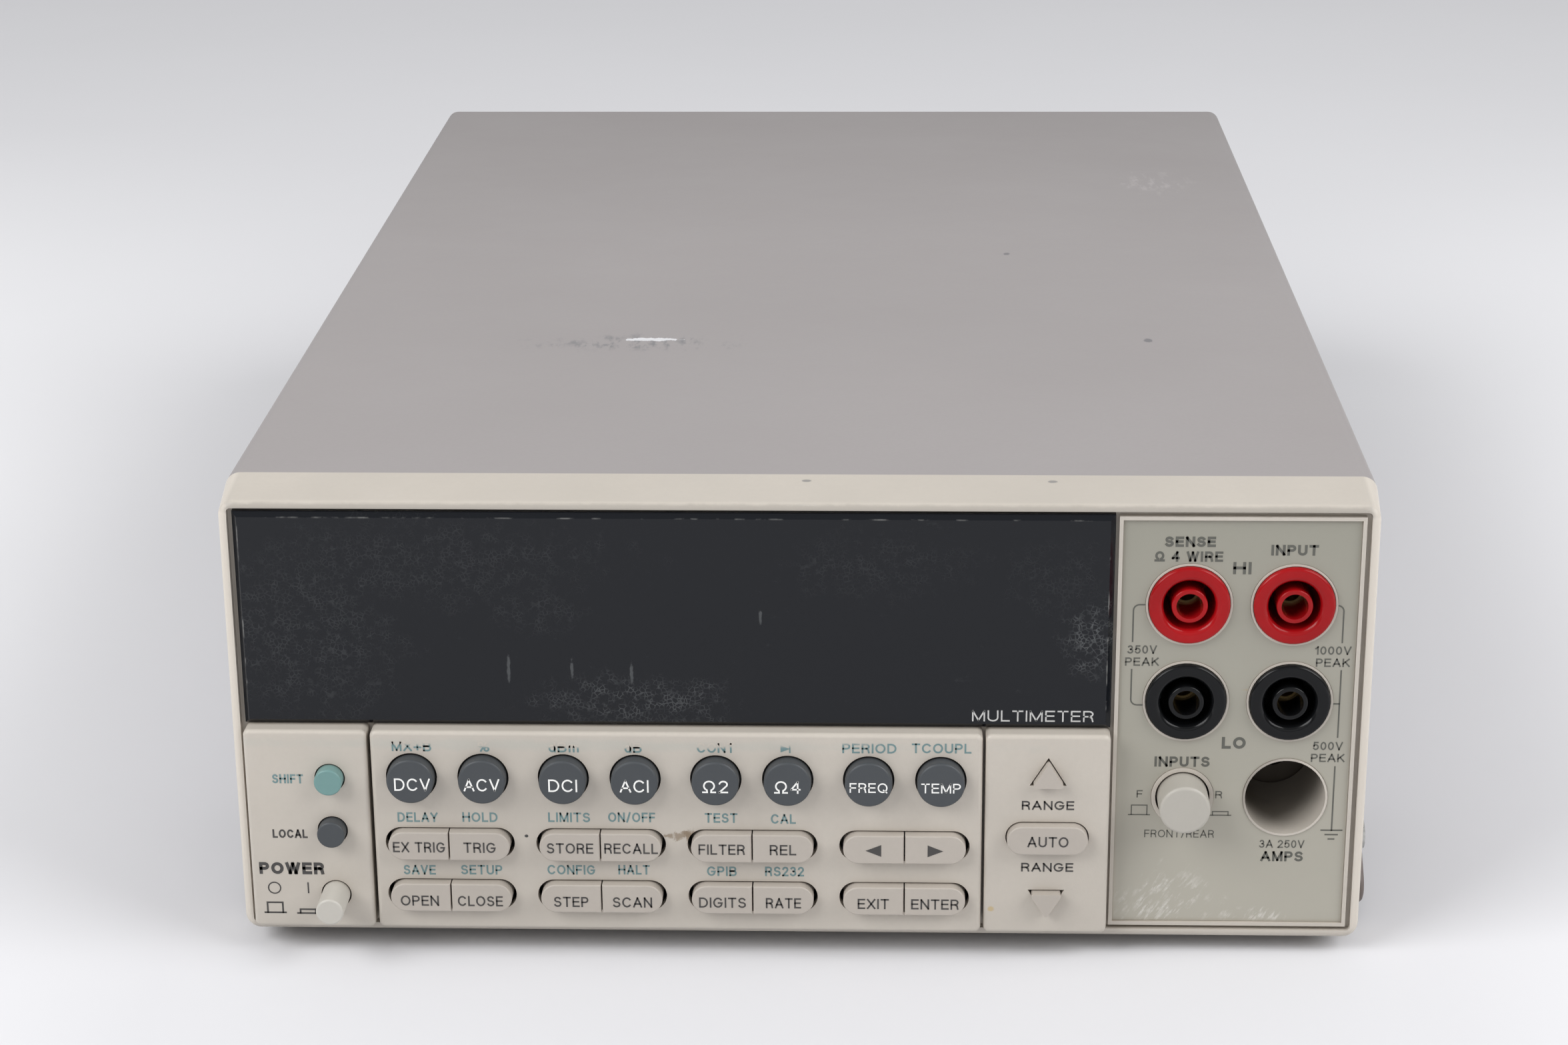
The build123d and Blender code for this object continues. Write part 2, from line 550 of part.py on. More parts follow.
with BuildPart() as chassis:
    floor_top = CHASSIS_BOTTOM + SHEET
    panel_front = COVER_REAR - SHEET
    tray_depth = (CHASSIS_FRONT, panel_front - SHEET_GAP)
    block((-CHASSIS_SIDE, CHASSIS_SIDE), tray_depth, (CHASSIS_BOTTOM, floor_top))
    for side in (-1, 1):
        outer, inner = sorted((side * CHASSIS_SIDE, side * (CHASSIS_SIDE - SHEET)))
        block((outer, inner), tray_depth, (CHASSIS_BOTTOM, FLANGE_HEIGHT))
    for sheet_x in ((-CHASSIS_SIDE, MAINS_EDGE - SHEET_GAP), (MAINS_EDGE, CHASSIS_SIDE)):
        block(sheet_x, (panel_front, COVER_REAR), (CHASSIS_BOTTOM, REAR_PANEL_TOP))
    with BuildSketch(facing(panel_front)):
        with Locations((INLET_X, INLET_Z)):
            Rectangle(*INLET_CUT)
        with Locations((BUS_X, LOW_PORT_Z)):
            Rectangle(*BUS_CUT)
        with Locations((SERIAL_X, LOW_PORT_Z)):
            Rectangle(*SERIAL_CUT)
        with Locations((SLOT_X, SLOT_Z)):
            Rectangle(*SLOT_CUT)
        for x in LINK_X:
            with Locations((x, LINK_Z)):
                Circle(LINK_R + 0.2)
        for x in rear_jack_x:
            for z in rear_jack_z:
                with Locations((x, z)):
                    Circle(JACK_BODY_R + JACK_GAP)
        for x, z in RING_SCREWS:
            with Locations((x, z)):
                Circle(SCREW_HOLE_R)
    extrude(amount=-SHEET, mode=Mode.SUBTRACT)
    with Locations(at(0, *EAR_SCREW)):
        Cylinder(SCREW_HOLE_R, CASE_WIDTH, rotation=(0, 90, 0), mode=Mode.SUBTRACT)
    for x, depth in GROUND_SCREWS:
        with Locations(at(x, depth, floor_top)):
            Cylinder(SCREW_HOLE_R, 4, mode=Mode.SUBTRACT)
chassis.part.label = "chassis"
export_step(chassis.part, "parts/chassis.step")

# ---- rear bezel: moulded ring around the rear panel ----------------------------------------------
RING_FLANGE = (211.6, 87.6)
RING_OUTER = (202.0, 78.0)
RING_INNER = (195.0, 71.0)
RING_FLANGE_THICK = 2.0
RING_CORNERS = (3.0, 7.0, 5.0)          # of the flange, the outside and the inside
BOSS_R, BOSS = 5.5, 10.0

with BuildPart() as rear_bezel:
    ring_middle = (0, CASE_HEIGHT / 2)
    with BuildSketch(facing(COVER_REAR)):
        with Locations(ring_middle):
            RectangleRounded(*RING_FLANGE, RING_CORNERS[0])
    extrude(amount=-RING_FLANGE_THICK)
    with BuildSketch(facing(COVER_REAR)):
        with Locations(ring_middle):
            RectangleRounded(*RING_OUTER, RING_CORNERS[1])
    extrude(amount=-REAR_BEZEL_DEPTH)
    fillet(rear_bezel.faces().sort_by(Axis.Y)[-1].edges(), 2)
    with BuildSketch(facing(COVER_REAR)):
        with Locations(ring_middle):
            RectangleRounded(*RING_INNER, RING_CORNERS[2])
    extrude(amount=-REAR_BEZEL_DEPTH, mode=Mode.SUBTRACT)
    for x, z in RING_SCREWS:
        with Locations(at(x, COVER_REAR + BOSS / 2, z)):
            Cylinder(BOSS_R, BOSS, rotation=(90, 0, 0))
            Cylinder(SCREW_HOLE_R, BOSS, rotation=(90, 0, 0), mode=Mode.SUBTRACT)
rear_bezel.part.label = "rear_bezel"
export_step(rear_bezel.part, "parts/rear_bezel.step")

# ---- mounting ears for the carrying handle --------------------------------------------------------
EAR_PLATE = 2.2
EAR_BOSS = 3.4
EAR_ROUND = 1.2
PIVOT = (46.0, 15.0)                    # depth and height of the handle's pivot
PIVOT_R, HUB_R = 5.0, 10.0
EAR_LOBES = [(18.5, 3.9, 3.8), (*PIVOT, 14.0), (64.0, 4.2, 5.2)]     # depth, height, radius
LIP_DEPTH = (32.0, 58.0)                # a lip folds under the cover here
LIP_THICK, LIP_REACH = 1.1, 8.0

for name, side in (("left_ear", -1), ("right_ear", 1)):
    wall = Plane(origin=at(side * CASE_WIDTH / 2, 0, 0), x_dir=(0, 1, 0), z_dir=(1, 0, 0))
    with BuildPart() as ear:
        with BuildSketch(wall):
            for depth, z, radius in EAR_LOBES:
                with Locations((depth, z)):
                    Circle(radius)
            make_hull()
        extrude(amount=side * EAR_PLATE)
        outer_face = ear.faces().sort_by(Axis.X)[-1 if side > 0 else 0]
        fillet(outer_face.edges(), EAR_ROUND)
        with BuildSketch(wall):
            with Locations(PIVOT):
                Circle(HUB_R)
        extrude(amount=side * EAR_BOSS)
        with BuildSketch(wall):
            with Locations(PIVOT):
                Circle(PIVOT_R)
            with Locations(EAR_SCREW):
                Circle(SCREW_HOLE_R)
        extrude(amount=side * EAR_BOSS, mode=Mode.SUBTRACT)
        lip = sorted((side * CASE_WIDTH / 2, side * (CASE_WIDTH / 2 - LIP_REACH)))
        block(lip, LIP_DEPTH, (-LIP_THICK, 0))
    ear.part.label = name
    export_step(ear.part, f"parts/{name}.step")

FOOT_X, FOOT_DEPTHS, FOOT_R = 90.0, (26.0, 305.0), 7.0
HEAD_R, HEAD = 2.8, 1.5
RING_HEAD_R, RING_HEAD = 3.2, 2.0
SHANK_R = 1.5
EAR_SHANK, GROUND_SHANK, RING_SHANK = 7.0, 5.0, 12.0

with BuildPart() as foot_pads:
    for x in (-FOOT_X, FOOT_X):
        for depth in FOOT_DEPTHS:
            with Locations(at(x, depth, -FOOT_HEIGHT / 2)):
                Cylinder(FOOT_R, FOOT_HEIGHT)
foot_pads.part.label = "foot_pads"
export_step(foot_pads.part, "parts/foot_pads.step")

with BuildPart() as case_screws:
    for side in (-1, 1):
        seat = side * (CASE_WIDTH / 2 + EAR_PLATE)
        with Locations(at(seat + side * HEAD / 2, *EAR_SCREW)):
            Cylinder(HEAD_R, HEAD, rotation=(0, 90, 0))
        with Locations(at(seat - side * EAR_SHANK / 2, *EAR_SCREW)):
            Cylinder(SHANK_R, EAR_SHANK, rotation=(0, 90, 0))
    for x, depth in GROUND_SCREWS:
        with Locations(at(x, depth, -HEAD / 2)):
            Cylinder(HEAD_R, HEAD)
        with Locations(at(x, depth, GROUND_SHANK / 2)):
            Cylinder(SHANK_R, GROUND_SHANK)
    for x, z in RING_SCREWS:
        with Locations(at(x, COVER_REAR + BOSS + RING_HEAD / 2, z)):
            Cylinder(RING_HEAD_R, RING_HEAD, rotation=(90, 0, 0))
        with Locations(at(x, COVER_REAR + BOSS - RING_SHANK / 2, z)):
            Cylinder(SHANK_R, RING_SHANK, rotation=(90, 0, 0))
case_screws.part.label = "case_screws"
export_step(case_screws.part, "parts/case_screws.step")

# ---- display, switch pad and their board ----------------------------------------------------------
DISPLAY_BOARD_X, DISPLAY_BOARD_Z = (-102.0, 56.0), (4.5, 84.0)
TUBE_X, TUBE_Z = (-89.5, 44.5), (52.0, 78.0)
TUBE_FRONT = INSET + 0.6
TIP_X, TIP_Z = (-94.0, TUBE_X[0]), (62.0, 68.0)     # the sealed end of the vacuum tube
PAD_X, PAD_Z = (-99.0, 55.0), (6.0, 41.5)
DOME_R = 2.2
ROD_HOLE_R = 3.4
STOP_X, STOP_Z = (-60.0, -10.0), (DISPLAY_BOARD_Z[1] + 0.1, 86.2)
board_back = DISPLAY_BOARD_FRONT + BOARD

with BuildPart() as display_board:
    block(DISPLAY_BOARD_X, (DISPLAY_BOARD_FRONT, board_back), DISPLAY_BOARD_Z)
    with Locations(at(SMALL_X, DISPLAY_BOARD_FRONT, POWER_Z)):
        Cylinder(ROD_HOLE_R, 4, rotation=(90, 0, 0), mode=Mode.SUBTRACT)
display_board.part.label = "display_board"
export_step(display_board.part, "parts/display_board.step")

with BuildPart() as display_tube:
    block(TUBE_X, (TUBE_FRONT, DISPLAY_BOARD_FRONT), TUBE_Z)
    block(TIP_X, (INSET_BACK + 1, DISPLAY_BOARD_FRONT), TIP_Z)
display_tube.part.label = "display_tube"
export_step(display_tube.part, "parts/display_tube.step")

with BuildPart() as switch_pad:
    block(PAD_X, (DISPLAY_BOARD_FRONT - PAD_SHEET, DISPLAY_BOARD_FRONT), PAD_Z)
    for x, z in key_places:
        with Locations(at(x, (DOME_TOP + DISPLAY_BOARD_FRONT) / 2, z)):
            Cylinder(DOME_R, DISPLAY_BOARD_FRONT - DOME_TOP, rotation=(90, 0, 0))
    with Locations(at(SMALL_X, DISPLAY_BOARD_FRONT, POWER_Z)):
        Cylinder(ROD_HOLE_R, 8, rotation=(90, 0, 0), mode=Mode.SUBTRACT)
switch_pad.part.label = "switch_pad"
export_step(switch_pad.part, "parts/switch_pad.step")

with BuildPart() as board_stop:
    block(STOP_X, (DISPLAY_BOARD_FRONT - BOARD, COVER_FRONT), STOP_Z)
board_stop.part.label = "board_stop"
export_step(board_stop.part, "parts/board_stop.step")

# ---- main board and what stands on it --------------------------------------------------------------
MAIN_LEFT, MAIN_RIGHT = -82.0, 100.0
MAIN_DEPTH = (30.0, 318.0)
MAIN_Z = 8.0
MAIN_TOP = MAIN_Z + BOARD
CORNER_CUT = (-5.0, 232.0)              # the transformer stands in this cut corner of the board
POST_X, POST_DEPTH = (-60.0, 0.0, 60.0), (60.0, 66.0)

with BuildPart() as main_board:
    block((MAIN_LEFT, MAIN_RIGHT), MAIN_DEPTH, (MAIN_Z, MAIN_TOP))
    cut_depth = (CORNER_CUT[1], MAIN_DEPTH[1])
    block((MAIN_LEFT, CORNER_CUT[0]), cut_depth, (MAIN_Z, MAIN_TOP), mode=Mode.SUBTRACT)
    for x in POST_X:
        block((x - 3, x + 3), POST_DEPTH, (floor_top, MAIN_Z))
main_board.part.label = "main_board"
export_step(main_board.part, "parts/main_board.step")

RELAY_X, RELAY_DEPTH, RELAY_TALL = (-2.0, 11.0, 24.0, 37.0), (90.0, 112.0), 11.0
RELAY_WIDTH = 10.0
CAPACITOR_X, CAPACITOR_DEPTH = (-55.0, -35.0, -15.0), 200.0
CAPACITOR_R, CAPACITOR_TALL = 8.0, 28.0
SINK_X, SINK_DEPTH, SINK_TALL = (-10.0, 50.0), (170.0, 173.0), 32.0
REGULATOR_X, REGULATOR_WIDTH, REGULATOR_THICK = (0.0, 18.0, 36.0), 10.0, 5.0
REGULATOR_Z = (MAIN_TOP + 4, MAIN_TOP + 20)
CHIP_X, CHIP_DEPTH, CHIP_SIDE, CHIP_TALL = (-50.0, -10.0), 120.0, 26.0, 3.0

with BuildPart() as board_components:
    for x in RELAY_X:
        block((x, x + RELAY_WIDTH), RELAY_DEPTH, (MAIN_TOP, MAIN_TOP + RELAY_TALL))
    for x in CAPACITOR_X:
        with Locations(at(x, CAPACITOR_DEPTH, MAIN_TOP + CAPACITOR_TALL / 2)):
            Cylinder(CAPACITOR_R, CAPACITOR_TALL)
    block(SINK_X, SINK_DEPTH, (MAIN_TOP, MAIN_TOP + SINK_TALL))
    for x in REGULATOR_X:
        block((x, x + REGULATOR_WIDTH), (SINK_DEPTH[0] - REGULATOR_THICK, SINK_DEPTH[0]), REGULATOR_Z)
    for x in CHIP_X:
        chip_depth = (CHIP_DEPTH, CHIP_DEPTH + CHIP_SIDE)
        block((x, x + CHIP_SIDE), chip_depth, (MAIN_TOP, MAIN_TOP + CHIP_TALL))
board_components.part.label = "board_components"
export_step(board_components.part, "parts/board_components.step")

CORE_MIDDLE = (-50.0, 262.0)            # x and depth
CORE = (66.0, 30.0, 56.0)
LIMB = 11.0                             # outer limbs and yokes, and half of the middle limb
COIL_WINDOW = 11.0
FOOT_TAB = (8.0, 3.0)                   # reach and thickness of the core's mounting feet
COIL_END = 10.0                         # the winding bulges this far out of the core
COIL_ROUND = 6.0
COIL_GAP = 0.3

with BuildPart() as transformer_core:
    core_x = (CORE_MIDDLE[0] - CORE[0] / 2, CORE_MIDDLE[0] + CORE[0] / 2)
    core_depth = (CORE_MIDDLE[1] - CORE[1] / 2, CORE_MIDDLE[1] + CORE[1] / 2)
    block(core_x, core_depth, (floor_top, floor_top + CORE[2]))
    for side in (-1, 1):
        middle = CORE_MIDDLE[0] + side * (COIL_WINDOW / 2 + LIMB)
        window = (middle - COIL_WINDOW / 2, middle + COIL_WINDOW / 2)
        block(window, core_depth, (floor_top + LIMB, floor_top + CORE[2] - LIMB), mode=Mode.SUBTRACT)
    for side in (-1, 1):
        inner = CORE_MIDDLE[0] + side * CORE[0] / 2
        tab_x = sorted((inner, inner + side * FOOT_TAB[0]))
        block(tab_x, (core_depth[0] + 5, core_depth[1] - 5), (floor_top, floor_top + FOOT_TAB[1]))
transformer_core.part.label = "transformer_core"
export_step(transformer_core.part, "parts/transformer_core.step")

with BuildPart() as transformer_coil:
    coil_z = (floor_top + LIMB + COIL_GAP, floor_top + CORE[2] - LIMB - COIL_GAP)
    reach = LIMB + COIL_WINDOW - COIL_GAP
    coil_depth = (core_depth[0] - COIL_END, core_depth[1] + COIL_END)
    block((CORE_MIDDLE[0] - reach, CORE_MIDDLE[0] + reach), coil_depth, coil_z)
    fillet(transformer_coil.edges().filter_by(Axis.Z), COIL_ROUND)
    leg = (CORE_MIDDLE[0] - LIMB - 0.2, CORE_MIDDLE[0] + LIMB + 0.2)
    block(leg, (core_depth[0] - 0.2, core_depth[1] + 0.2), coil_z, mode=Mode.SUBTRACT)
transformer_coil.part.label = "transformer_coil"
export_step(transformer_coil.part, "parts/transformer_coil.step")

POWER_SWITCH_X = (-97.0, -83.0)
POWER_SWITCH_LONG, POWER_SWITCH_TOP = 20.0, 22.0
INPUT_SWITCH_WIDTH, INPUT_SWITCH_LONG = 18.0, 42.0

with BuildPart() as power_switch:
    latch_front = POWER_ROD_END + POWER_TRAVEL + SWITCH_GAP
    block(POWER_SWITCH_X, (latch_front, latch_front + POWER_SWITCH_LONG), (floor_top, POWER_SWITCH_TOP))
    fillet(power_switch.edges().filter_by(Axis.Y), 1)
power_switch.part.label = "power_switch"
export_step(power_switch.part, "parts/power_switch.step")

with BuildPart() as input_switch:
    switch_front = INPUTS_ROD_END + INPUTS_TRAVEL + SWITCH_GAP
    switch_x = (SENSE_X - INPUT_SWITCH_WIDTH / 2, SENSE_X + INPUT_SWITCH_WIDTH / 2)
    block(switch_x, (switch_front, switch_front + INPUT_SWITCH_LONG), (MAIN_TOP, SWITCH_Z + 8))
    fillet(input_switch.edges().filter_by(Axis.Y), 1)
input_switch.part.label = "input_switch"
export_step(input_switch.part, "parts/input_switch.step")

# ---- rear connectors --------------------------------------------------------------------------------
INLET_FLANGE, INLET_FLANGE_THICK = (31.0, 58.0), 2.6
SOCKET = (24.4, 16.4)
SOCKET_DEEP = 17.0
SOCKET_Z = INLET_Z - 13.0
INLET_PINS = [(-7.0, -2.0), (7.0, -2.0), (0.0, 3.0)]    # line, neutral and earth
INLET_PIN, INLET_PIN_LONG = (2.0, 4.0), 13.0
DRAWER, DRAWER_Z = (25.0, 20.0), INLET_Z + 13.0         # voltage selector and fuse drawer

with BuildPart() as power_inlet:
    with BuildSketch(facing(COVER_REAR)):
        with Locations((INLET_X, INLET_Z)):
            RectangleRounded(*INLET_FLANGE, 2)
    extrude(amount=-INLET_FLANGE_THICK)
    with BuildSketch(facing(COVER_REAR)):
        with Locations((INLET_X, INLET_Z)):
            Rectangle(INLET_CUT[0] - 0.4, INLET_CUT[1] - 0.4)
    extrude(amount=30)
    socket_mouth = COVER_REAR + INLET_FLANGE_THICK
    with BuildSketch(facing(socket_mouth)):
        with Locations((INLET_X, SOCKET_Z)):
            Rectangle(*SOCKET)
    extrude(amount=SOCKET_DEEP, mode=Mode.SUBTRACT)
    with BuildSketch(facing(socket_mouth - SOCKET_DEEP)):
        for x, z in INLET_PINS:
            with Locations((INLET_X + x, SOCKET_Z + z)):
                Rectangle(*INLET_PIN)
    extrude(amount=-INLET_PIN_LONG)
    with BuildSketch(facing(socket_mouth)):
        with Locations((INLET_X, DRAWER_Z)):
            RectangleRounded(*DRAWER, 1)
    extrude(amount=-1.4)
power_inlet.part.label = "power_inlet"
export_step(power_inlet.part, "parts/power_inlet.step")

CUT_GAP = 0.6                           # a connector body is this much smaller than its cut-out
BUS_FLANGE, BUS_SHELL, BUS_TONGUE = (67.0, 16.5), (49.0, 9.2), (43.0, 3.0)
BUS_NUT_X, BUS_NUT_R = 30.2, 3.0

with BuildPart() as gpib_connector:
    with BuildSketch(facing(COVER_REAR)):
        with Locations((BUS_X, LOW_PORT_Z)):
            RectangleRounded(*BUS_FLANGE, 1)
    extrude(amount=-1.4)
    with BuildSketch(facing(COVER_REAR - 8)):
        with Locations((BUS_X, LOW_PORT_Z)):
            Rectangle(BUS_CUT[0] - CUT_GAP, BUS_CUT[1] - CUT_GAP)
    extrude(amount=-17)
    with BuildSketch(facing(COVER_REAR + 9)):
        with Locations((BUS_X, LOW_PORT_Z)):
            RectangleRounded(*BUS_SHELL, 2)
            Rectangle(*BUS_TONGUE, mode=Mode.SUBTRACT)
    extrude(amount=9, mode=Mode.SUBTRACT)
    with BuildSketch(facing(COVER_REAR)):
        for side in (-1, 1):
            with Locations((BUS_X + side * BUS_NUT_X, LOW_PORT_Z)):
                RegularPolygon(BUS_NUT_R, 6)
    extrude(amount=-8)
gpib_connector.part.label = "gpib_connector"
export_step(gpib_connector.part, "parts/gpib_connector.step")

SERIAL_FLANGE, SERIAL_SHELL = (31.0, 12.6), (16.9, 8.3)
SERIAL_NUT_X, SERIAL_NUT_R = 12.5, 2.6
SERIAL_PITCH, SERIAL_ROW, SERIAL_HOLE_R = 2.77, 1.42, 0.55

with BuildPart() as serial_connector:
    serial_middle = (SERIAL_X, LOW_PORT_Z)
    with BuildSketch(facing(COVER_REAR)):
        with Locations(serial_middle):
            RectangleRounded(*SERIAL_FLANGE, 1)
    extrude(amount=-1.0)
    with BuildSketch(facing(COVER_REAR - 8)):
        with Locations(serial_middle):
            RectangleRounded(SERIAL_CUT[0] - CUT_GAP, SERIAL_CUT[1] - CUT_GAP, 2)
    extrude(amount=-8)
    with BuildSketch(facing(COVER_REAR)):
        with Locations(serial_middle):
            RectangleRounded(*SERIAL_SHELL, 2.4)
    extrude(amount=-7)
    with BuildSketch(facing(COVER_REAR)):
        for side in (-1, 1):
            with Locations((SERIAL_X + side * SERIAL_NUT_X, LOW_PORT_Z)):
                RegularPolygon(SERIAL_NUT_R, 6)
    extrude(amount=-6)
    with BuildSketch(facing(COVER_REAR + 7)):
        for count, row in ((5, SERIAL_ROW), (4, -SERIAL_ROW)):
            with Locations((SERIAL_X, LOW_PORT_Z + row)):
                with GridLocations(SERIAL_PITCH, 1, count, 1):
                    Circle(SERIAL_HOLE_R)
    extrude(amount=5, mode=Mode.SUBTRACT)
serial_connector.part.label = "serial_connector"
export_step(serial_connector.part, "parts/serial_connector.step")

LINK_FLANGE_R, LINK_BORE_R, LINK_KEY = 7.2, 3.9, (2.2, 1.4)

with BuildPart() as trigger_connectors:
    with BuildSketch(facing(COVER_REAR)):
        for x in LINK_X:
            with Locations((x, LINK_Z)):
                Circle(LINK_FLANGE_R)
    extrude(amount=-1.6)
    with BuildSketch(facing(COVER_REAR - 10)):
        for x in LINK_X:
            with Locations((x, LINK_Z)):
                Circle(LINK_R)
    extrude(amount=-13)
    with BuildSketch(facing(COVER_REAR + 3)):
        for x in LINK_X:
            with Locations((x, LINK_Z)):
                Circle(LINK_BORE_R)
                Rectangle(*LINK_KEY, mode=Mode.SUBTRACT)
    extrude(amount=6, mode=Mode.SUBTRACT)
trigger_connectors.part.label = "trigger_connectors"
export_step(trigger_connectors.part, "parts/trigger_connectors.step")

SLOT_COVER, SLOT_SCREW_X, SLOT_SCREW_R = (106.0, 22.0), 50.3, 2.4

with BuildPart() as option_slot_cover:
    with BuildSketch(facing(COVER_REAR)):
        with Locations((SLOT_X, SLOT_Z)):
            RectangleRounded(*SLOT_COVER, 1)
    extrude(amount=-1)
    with BuildSketch(facing(COVER_REAR + 1)):
        for side in (-1, 1):
            with Locations((SLOT_X + side * SLOT_SCREW_X, SLOT_Z)):
                Circle(SLOT_SCREW_R)
    extrude(amount=-1.2)
option_slot_cover.part.label = "option_slot_cover"
export_step(option_slot_cover.part, "parts/option_slot_cover.step")
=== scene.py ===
"""Looks of the bench multimeter: camera and studio, surfaces with their wear, and printed legends.

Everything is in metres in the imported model's frame. Places on the instrument are given as the part's
source gives them: x from the middle, depth behind the bezel's front rim, and height on the case, in
millimetres, and spot() turns them into the frame.
"""
import json
import math

import bmesh
import bpy
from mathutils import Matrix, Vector


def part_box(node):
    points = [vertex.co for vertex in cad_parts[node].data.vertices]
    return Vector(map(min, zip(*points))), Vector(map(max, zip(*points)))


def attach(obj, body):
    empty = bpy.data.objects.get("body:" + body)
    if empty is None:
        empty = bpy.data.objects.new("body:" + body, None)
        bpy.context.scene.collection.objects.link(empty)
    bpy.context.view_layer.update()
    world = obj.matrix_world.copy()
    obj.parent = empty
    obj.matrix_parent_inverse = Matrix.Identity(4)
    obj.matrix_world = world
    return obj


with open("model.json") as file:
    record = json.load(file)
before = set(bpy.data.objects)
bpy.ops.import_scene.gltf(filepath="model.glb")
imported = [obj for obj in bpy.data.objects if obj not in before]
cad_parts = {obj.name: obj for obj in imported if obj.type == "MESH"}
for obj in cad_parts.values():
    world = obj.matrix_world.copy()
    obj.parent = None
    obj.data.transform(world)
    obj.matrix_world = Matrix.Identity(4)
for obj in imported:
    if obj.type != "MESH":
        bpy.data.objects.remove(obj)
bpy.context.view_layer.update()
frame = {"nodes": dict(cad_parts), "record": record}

MM = 0.001
COVER_DEPTH = 13.0          # the cover starts this far behind the rim
case_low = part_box("case_cover")[0]
RIM_Y = case_low.y - COVER_DEPTH * MM
CASE_Z = case_low.z
PANEL_DEPTH = -3.4          # front of the key sections
LABEL_DEPTH = 0.8           # front of the terminal label
LENS_DEPTH = -0.6
INK = 0.03                  # thickness of the printing


def spot(x, depth, height):
    """Point of the frame, in metres, for a place on the instrument in millimetres."""
    return Vector((x * MM, RIM_Y + depth * MM, CASE_Z + height * MM))


# ---- camera, floor and light ---------------------------------------------------------------------
def make_camera():
    data = bpy.data.cameras.new("camera")
    data.lens = 73.5
    data.sensor_width = 36.0
    data.sensor_fit = "HORIZONTAL"
    data.clip_start = 0.01
    data.clip_end = 50.0
    camera = bpy.data.objects.new("camera", data)
    camera.location = spot(17.8, -546.1, 278.3)
    camera.rotation_euler = [math.radians(angle) for angle in (70.434, 0.422, 1.944)]
    bpy.context.scene.collection.objects.link(camera)
    bpy.context.scene.camera = camera


def make_light(name, place, aim, size, power, tint=(1.0, 1.0, 1.0)):
    data = bpy.data.lights.new(name, "AREA")
    data.shape = "RECTANGLE"
    data.size, data.size_y = size
    data.energy = power
    data.color = tint
    light = bpy.data.objects.new(name, data)
    light.location = place
    light.rotation_euler = (Vector(aim) - Vector(place)).to_track_quat("-Z", "Y").to_euler()
    bpy.context.scene.collection.objects.link(light)


def make_world():
    """Even pale surroundings, darker behind the camera."""
    world = bpy.data.worlds.new("studio")
    world.use_nodes = True
    tree = world.node_tree
    direction = tree.nodes.new("ShaderNodeTexCoord").outputs["Generated"]
    split = tree.nodes.new("ShaderNodeSeparateXYZ")
    tree.links.new(direction, split.inputs["Vector"])
    strength = tree.nodes.new("ShaderNodeMapRange")
    for name, value in (("From Min", -0.8), ("From Max", 0.1), ("To Min", 0.27), ("To Max", 0.57)):
        strength.inputs[name].default_value = value
    tree.links.new(split.outputs["Y"], strength.inputs["Value"])
    tree.links.new(strength.outputs["Result"], tree.nodes["Background"].inputs["Strength"])
    tree.nodes["Background"].inputs["Color"].default_value = (1.0, 1.0, 1.01, 1.0)
    bpy.context.scene.world = world


